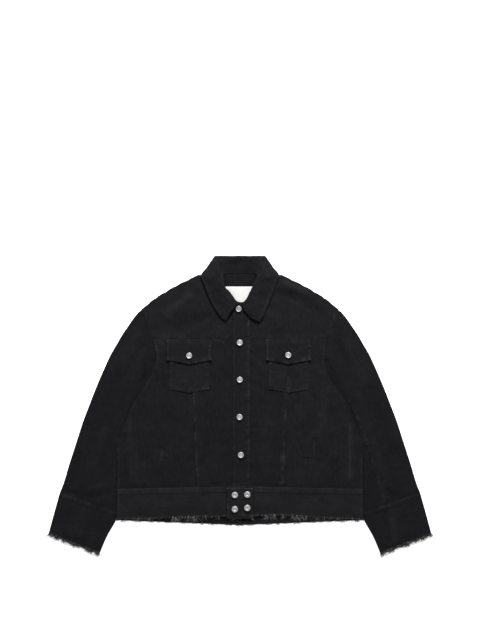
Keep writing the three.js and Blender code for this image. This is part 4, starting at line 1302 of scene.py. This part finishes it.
vertices, faces = collarRows((5.6,))
addPiece("stitching_collar", tripleMesh("stitching_collar", vertices, faces), stitchThread)
print("denim jacket: stitches made")


# Frayed edges
# line from the centre outward, z below, cloth's face above, threads, longest, share of pale threads,
# how far they lean, share that starts on the face
fraying = {
    "fringe_hem_front": ([(0.4, -270.2), (305, -278.2)], 3.4, bandTop, 1700, 10.0, 0.13, 0.8, 0.35),
    "fringe_hem_back": ([(0.4, -291.6), (305, -279.4)], 0.8, None, 1700, 6.5, 0.15, 0.9, 0.0),
    "fringe_cuff": ([(344.6, -362.4), (469.6, -314.0)], 1.6, cuffTop, 2300, 12.5, 0.14, 0.8, 0.35),
}
# Tufts of pale threads that hang down from the front hem: plan x, threads, length
tufts = [
    (-165, 12, 15), (-157, 15, 16), (-149, 6, 12), (-127, 8, 14), (-114, 16, 16), (-105, 6, 14),
    (-52, 8, 12), (-18, 12, 15), (-12, 9, 16), (25, 12, 15), (62, 9, 14), (72, 10, 15), (84, 12, 15),
    (105, 9, 14), (128, 8, 15), (139, 12, 16), (152, 9, 14), (163, 9, 15), (205, 6, 11), (-222, 8, 10),
    (-250, 9, 9), (240, 8, 9), (-280, 9, 8), (275, 8, 8), (-85, 4, 11), (190, 6, 12),
]
threadRadius = 0.19
threadPoints = 5     # points along each thread


# Thin three-sided threads along curled lines, all with the same number of points
def threadMesh(lines, radius):
    direction = np.gradient(lines, axis=1)
    direction /= np.maximum(np.linalg.norm(direction, axis=2, keepdims=True), 1e-9)
    side = np.cross(direction, [0.13, 0.21, 0.97])
    side /= np.maximum(np.linalg.norm(side, axis=2, keepdims=True), 1e-9)
    up = np.cross(side, direction)
    count, length = lines.shape[:2]
    taper = np.linspace(1, 0.5, length)[None, :, None] * radius
    ring = [lines + taper * (side * math.cos(a) + up * math.sin(a)) for a in (0, 2.094, 4.189)]
    vertices = np.stack(ring, 2).reshape(-1, 3)
    one = []
    for i in range(length - 1):
        for k in range(3):
            a, b = 3 * i + k, 3 * i + (k + 1) % 3
            one += [(a, b, b + 3), (a, b + 3, a + 3)]
    tip = 3 * (length - 1)
    one += [(2, 1, 0), (tip, tip + 1, tip + 2)]
    faces = np.array(one)[None] + (np.arange(count) * 3 * length)[:, None, None]
    return vertices, faces.reshape(-1, 3)


def frayedLines(line, z, face, count, longest, stray, onFace, rng, extra=()):
    (x1, y1), (x2, y2) = line
    size = math.hypot(x2 - x1, y2 - y1)
    along = np.array([(x2 - x1) / size, (y2 - y1) / size])
    out = np.array([along[1], -along[0]]) * (1 if -along[0] < 0 else -1)
    place = rng.random(count) * size
    clump = 0.5 + 0.5 * np.sin(place * 0.23 + 1.7 * np.sin(place * 0.061) + 0.8 * np.sin(place * 0.71))
    reach = longest * (0.18 + 0.82 * rng.random(count) ** 2.4) * (0.35 + 0.85 * clump)
    for x, threads, length in extra:
        if min(x1, x2) < x < max(x1, x2):
            spot = abs(x - x1) / abs(x2 - x1) * size
            place = np.concatenate([place, spot + rng.normal(0, 0.8, threads)])
            reach = np.concatenate([reach, length * (0.7 + 0.35 * rng.random(threads))])
    place = np.clip(place, 0.3, size - 0.3)[:, None]
    reach = reach[:, None]
    total = len(place)
    chance = rng.random((total, 6))
    lean = (chance[:, 0:1] - 0.5) * 2 * stray * np.where(chance[:, 1:2] < 0.12, 2.2, 1.0)
    curl = (chance[:, 2:3] - 0.5) * 1.6
    t = np.linspace(0, 1, threadPoints)[None]
    sideways = reach * (lean * t + 0.5 * curl * t * t + 0.08 * np.sin(9 * t + 6 * chance[:, 3:4]))
    starts = np.where(chance[:, 4:5] < onFace, 1.0 + 3.5 * chance[:, 1:2] ** 2, 1.0)
    outward = (reach + starts) * (t - 0.12 * np.abs(curl) * t * t) - starts
    place = np.clip(place + sideways, -2.5, size + 2.5)
    x = x1 + along[0] * place + out[0] * outward
    y = y1 + along[1] * place + out[1] * outward
    if extra:
        y = y + hemY(x) - edgeY(outline["bandHem"], x)
    height = z + 0.5 * (chance[:, 5:6] - 0.5) + 0.7 * np.sin(3 * t + 6 * chance[:, 3:4]) * t
    if face is not None:
        above = face(x, y - out[1] * np.maximum(outward, 0)) + 0.25
        share = np.where(chance[:, 4:5] < onFace, 1 - smooth(outward / 5), 0.0)
        height = height * (1 - share) + above * share
    drop = smooth(outward / np.maximum(reach, 4)) * chance[:, 1:2] * (z - 0.8)
    return np.stack([x, y, np.maximum(height - drop, 0.4)], -1)


rng = np.random.default_rng(7)
for kind, (line, z, face, count, longest, paleShare, stray, onFace) in fraying.items():
    for side, turn in halves:
        extra = tufts if kind == "fringe_hem_front" else ()
        threads = frayedLines([(x * turn, y) for x, y in line], z, face, count, longest, stray, onFace,
                              rng, extra)
        darkCount = int(count * (1 - paleShare))
        dark, darkFaces = threadMesh(threads[:darkCount], threadRadius * 1.15)
        pale, paleFaces = threadMesh(threads[darkCount:], threadRadius)
        name = kind + "_threads_" + side
        faces = np.concatenate([darkFaces, paleFaces + len(dark)])
        mesh = tripleMesh(name, np.concatenate([dark, pale]), faces)
        addPiece(name, mesh, darkThread, [kind + "_" + side])
        mesh.materials.append(paleThread)
        slots = np.concatenate([np.zeros(len(darkFaces), np.int32), np.ones(len(paleFaces), np.int32)])
        mesh.polygons.foreach_set("material_index", slots)
print("denim jacket: frayed edges made")


# Buttons and snaps
metalware = {
    "radius": 7.4, "snapRadius": 7.8, "height": 3.4, "facets": 40,
    "front": [(-3.4, 237.6), (-0.7, 155.1), (-0.5, 64.4), (-1.0, -27.0), (2.0, -120.0)],
    "pocket": {"l": (-124.5, 123.2), "r": (118.1, 124.7)},
    "snaps": [(-12.5, -217.8), (17.9, -216.6), (-12.7, -252.6), (17.9, -249.4)],
    # radius share, height share, hollow
    "buttonProfile": [
        (0.0, 0.72, 0.5), (0.10, 0.72, 0.6), (0.16, 0.80, 0.3), (0.24, 0.86, 0.0), (0.34, 0.85, 0.1),
        (0.42, 0.77, 0.4), (0.52, 0.75, 0.5), (0.62, 0.79, 0.3), (0.72, 0.90, 0.0), (0.82, 0.97, 0.0),
        (0.91, 0.93, 0.0), (0.97, 0.78, 0.1), (1.0, 0.50, 0.3), (0.97, 0.18, 0.6), (0.88, 0.0, 0.8),
    ],
    "snapProfile": [
        (0.0, 0.60, 0.5), (0.22, 0.60, 0.5), (0.30, 0.64, 0.4), (0.36, 0.82, 0.1), (0.46, 0.90, 0.0),
        (0.58, 0.86, 0.1), (0.66, 0.75, 0.4), (0.74, 0.77, 0.3), (0.84, 0.90, 0.0), (0.93, 0.82, 0.0),
        (1.0, 0.42, 0.3), (0.95, 0.10, 0.6), (0.86, 0.0, 0.8),
    ],
}


def addButton(name, x, y, z, radius, profile, look, node):
    turns = np.linspace(0, 2 * math.pi, metalware["facets"], endpoint=False)
    rows = np.array(profile)
    ring = np.stack([np.cos(turns), np.sin(turns)], 1)
    points = [(x, y, z + rows[0, 1] * metalware["height"])]
    hollow = [rows[0, 2]]
    for share, height, deep in rows[1:]:
        for c, s in ring:
            points.append((x + c * share * radius, y + s * share * radius, z + height * metalware["height"]))
            hollow.append(deep)
    points.append((x, y, z))
    hollow.append(0.8)
    n = len(turns)
    faces = [(0, 1 + k, 1 + (k + 1) % n) for k in range(n)]
    for i in range(len(rows) - 2):
        a = 1 + i * n
        for k in range(n):
            m = (k + 1) % n
            faces.append((a + k, a + n + k, a + n + m, a + m))
    lastRing = 1 + (len(rows) - 2) * n
    faces += [(len(points) - 1, lastRing + (k + 1) % n, lastRing + k) for k in range(n)]
    points = np.array(points)
    points[:, 1] += planShift
    mesh = bpy.data.meshes.new(name)
    mesh.from_pydata((points * mm).tolist(), [], faces)
    addNumbers(mesh, "wear", hollow)
    mesh.shade_smooth()
    return addPiece(name, mesh, look, [node])


def seatOn(top, x, y, radius):
    turns = np.linspace(0, 2 * math.pi, 12, endpoint=False)
    return float(np.max(top(x + 0.9 * radius * np.cos(turns), y + 0.9 * radius * np.sin(turns)))) + 0.25


radius = metalware["radius"]
for number, (x, y) in enumerate(metalware["front"], 1):
    look = pewterDarker if number == 1 else pewter
    addButton("jean_button_%d" % number, x, y, seatOn(placketTop, x, y, radius), radius,
              metalware["buttonProfile"], look, "button_%d" % number)
for side, (x, y) in metalware["pocket"].items():
    addButton("jean_button_pocket_" + side, x, y, seatOn(flapTops[side], x, y, radius), radius,
              metalware["buttonProfile"], pewter, "pocket_button_" + side)
for number, (x, y) in enumerate(metalware["snaps"], 1):
    addButton("tab_snap_%d" % number, x, y, seatOn(tabTop, x, y, metalware["snapRadius"]),
              metalware["snapRadius"], metalware["snapProfile"], pewter, "snap_%d" % number)
print("denim jacket: buttons and snaps made")


# Floor, light and camera
studio = {
    "floor": (0.93, 0.93, 0.93), "floorGlow": 0.8,
    "sky": 0.32,
    "mainPlace": (0.35, 2.9, 1.75), "mainSize": 0.8, "mainPower": 190.0,
    "fillPlace": (-1.3, -0.6, 2.6), "fillSize": 2.0, "fillPower": 10.0,
    "lens": 100.0, "pixel": 2.45,       # mm of the jacket in one pixel of the 640 that the frame is high
    "middle": (240, 406),               # pixel at the plan's origin
    "picture": (480, 640),              # its width and height in pixels
}
bpy.ops.mesh.primitive_plane_add(size=6, location=(0, 0.2, -0.0006))
floor = bpy.context.object
floor.name = "floor"
floorLook, floorShader = plainMaterial("studio_floor", studio["floor"], 0.9)
floorShader.inputs["Emission Color"].default_value = (1, 1, 1, 1)
floorShader.inputs["Emission Strength"].default_value = studio["floorGlow"]
floor.data.materials.append(floorLook)

world = bpy.data.worlds.new("studio")
bpy.context.scene.world = world
world.use_nodes = True
sky = world.node_tree.nodes["Background"]
sky.inputs[0].default_value = (1, 1, 1, 1)
sky.inputs[1].default_value = studio["sky"]


def addLamp(name, place, size, power, target):
    lamp = bpy.data.lights.new(name, "AREA")
    lamp.shape = "DISK"
    lamp.size = size
    lamp.energy = power
    lampObject = bpy.data.objects.new(name, lamp)
    bpy.context.collection.objects.link(lampObject)
    lampObject.location = place
    direction = Vector(target) - Vector(place)
    lampObject.rotation_euler = direction.to_track_quat("-Z", "Y").to_euler()


addLamp("main_light", studio["mainPlace"], studio["mainSize"], studio["mainPower"], (0, 0, 0))
addLamp("fill_light", studio["fillPlace"], studio["fillSize"], studio["fillPower"], (0, 0, 0))

camera = bpy.data.cameras.new("camera")
camera.lens = studio["lens"]
camera.sensor_width = 36
camera.sensor_fit = "AUTO"
camera.clip_end = 50
camera.dof.use_dof = False
cameraObject = bpy.data.objects.new("camera", camera)
bpy.context.collection.objects.link(cameraObject)
pictureWidth, pictureHeight = studio["picture"]
frameHeight = pictureHeight * studio["pixel"] * mm
middleX = (pictureWidth / 2 - studio["middle"][0]) * studio["pixel"] * mm
middleY = (studio["middle"][1] - pictureHeight / 2) * studio["pixel"] * mm + planShift * mm
cameraHeight = frameHeight * studio["lens"] / camera.sensor_width
cameraObject.location = (middleX, middleY, cameraHeight + 0.006)
cameraObject.rotation_euler = (0, 0, 0)
bpy.context.scene.camera = cameraObject
bpy.context.scene.view_settings.view_transform = "Standard"
bpy.context.scene.view_settings.look = "None"

print("denim jacket: scene ready")
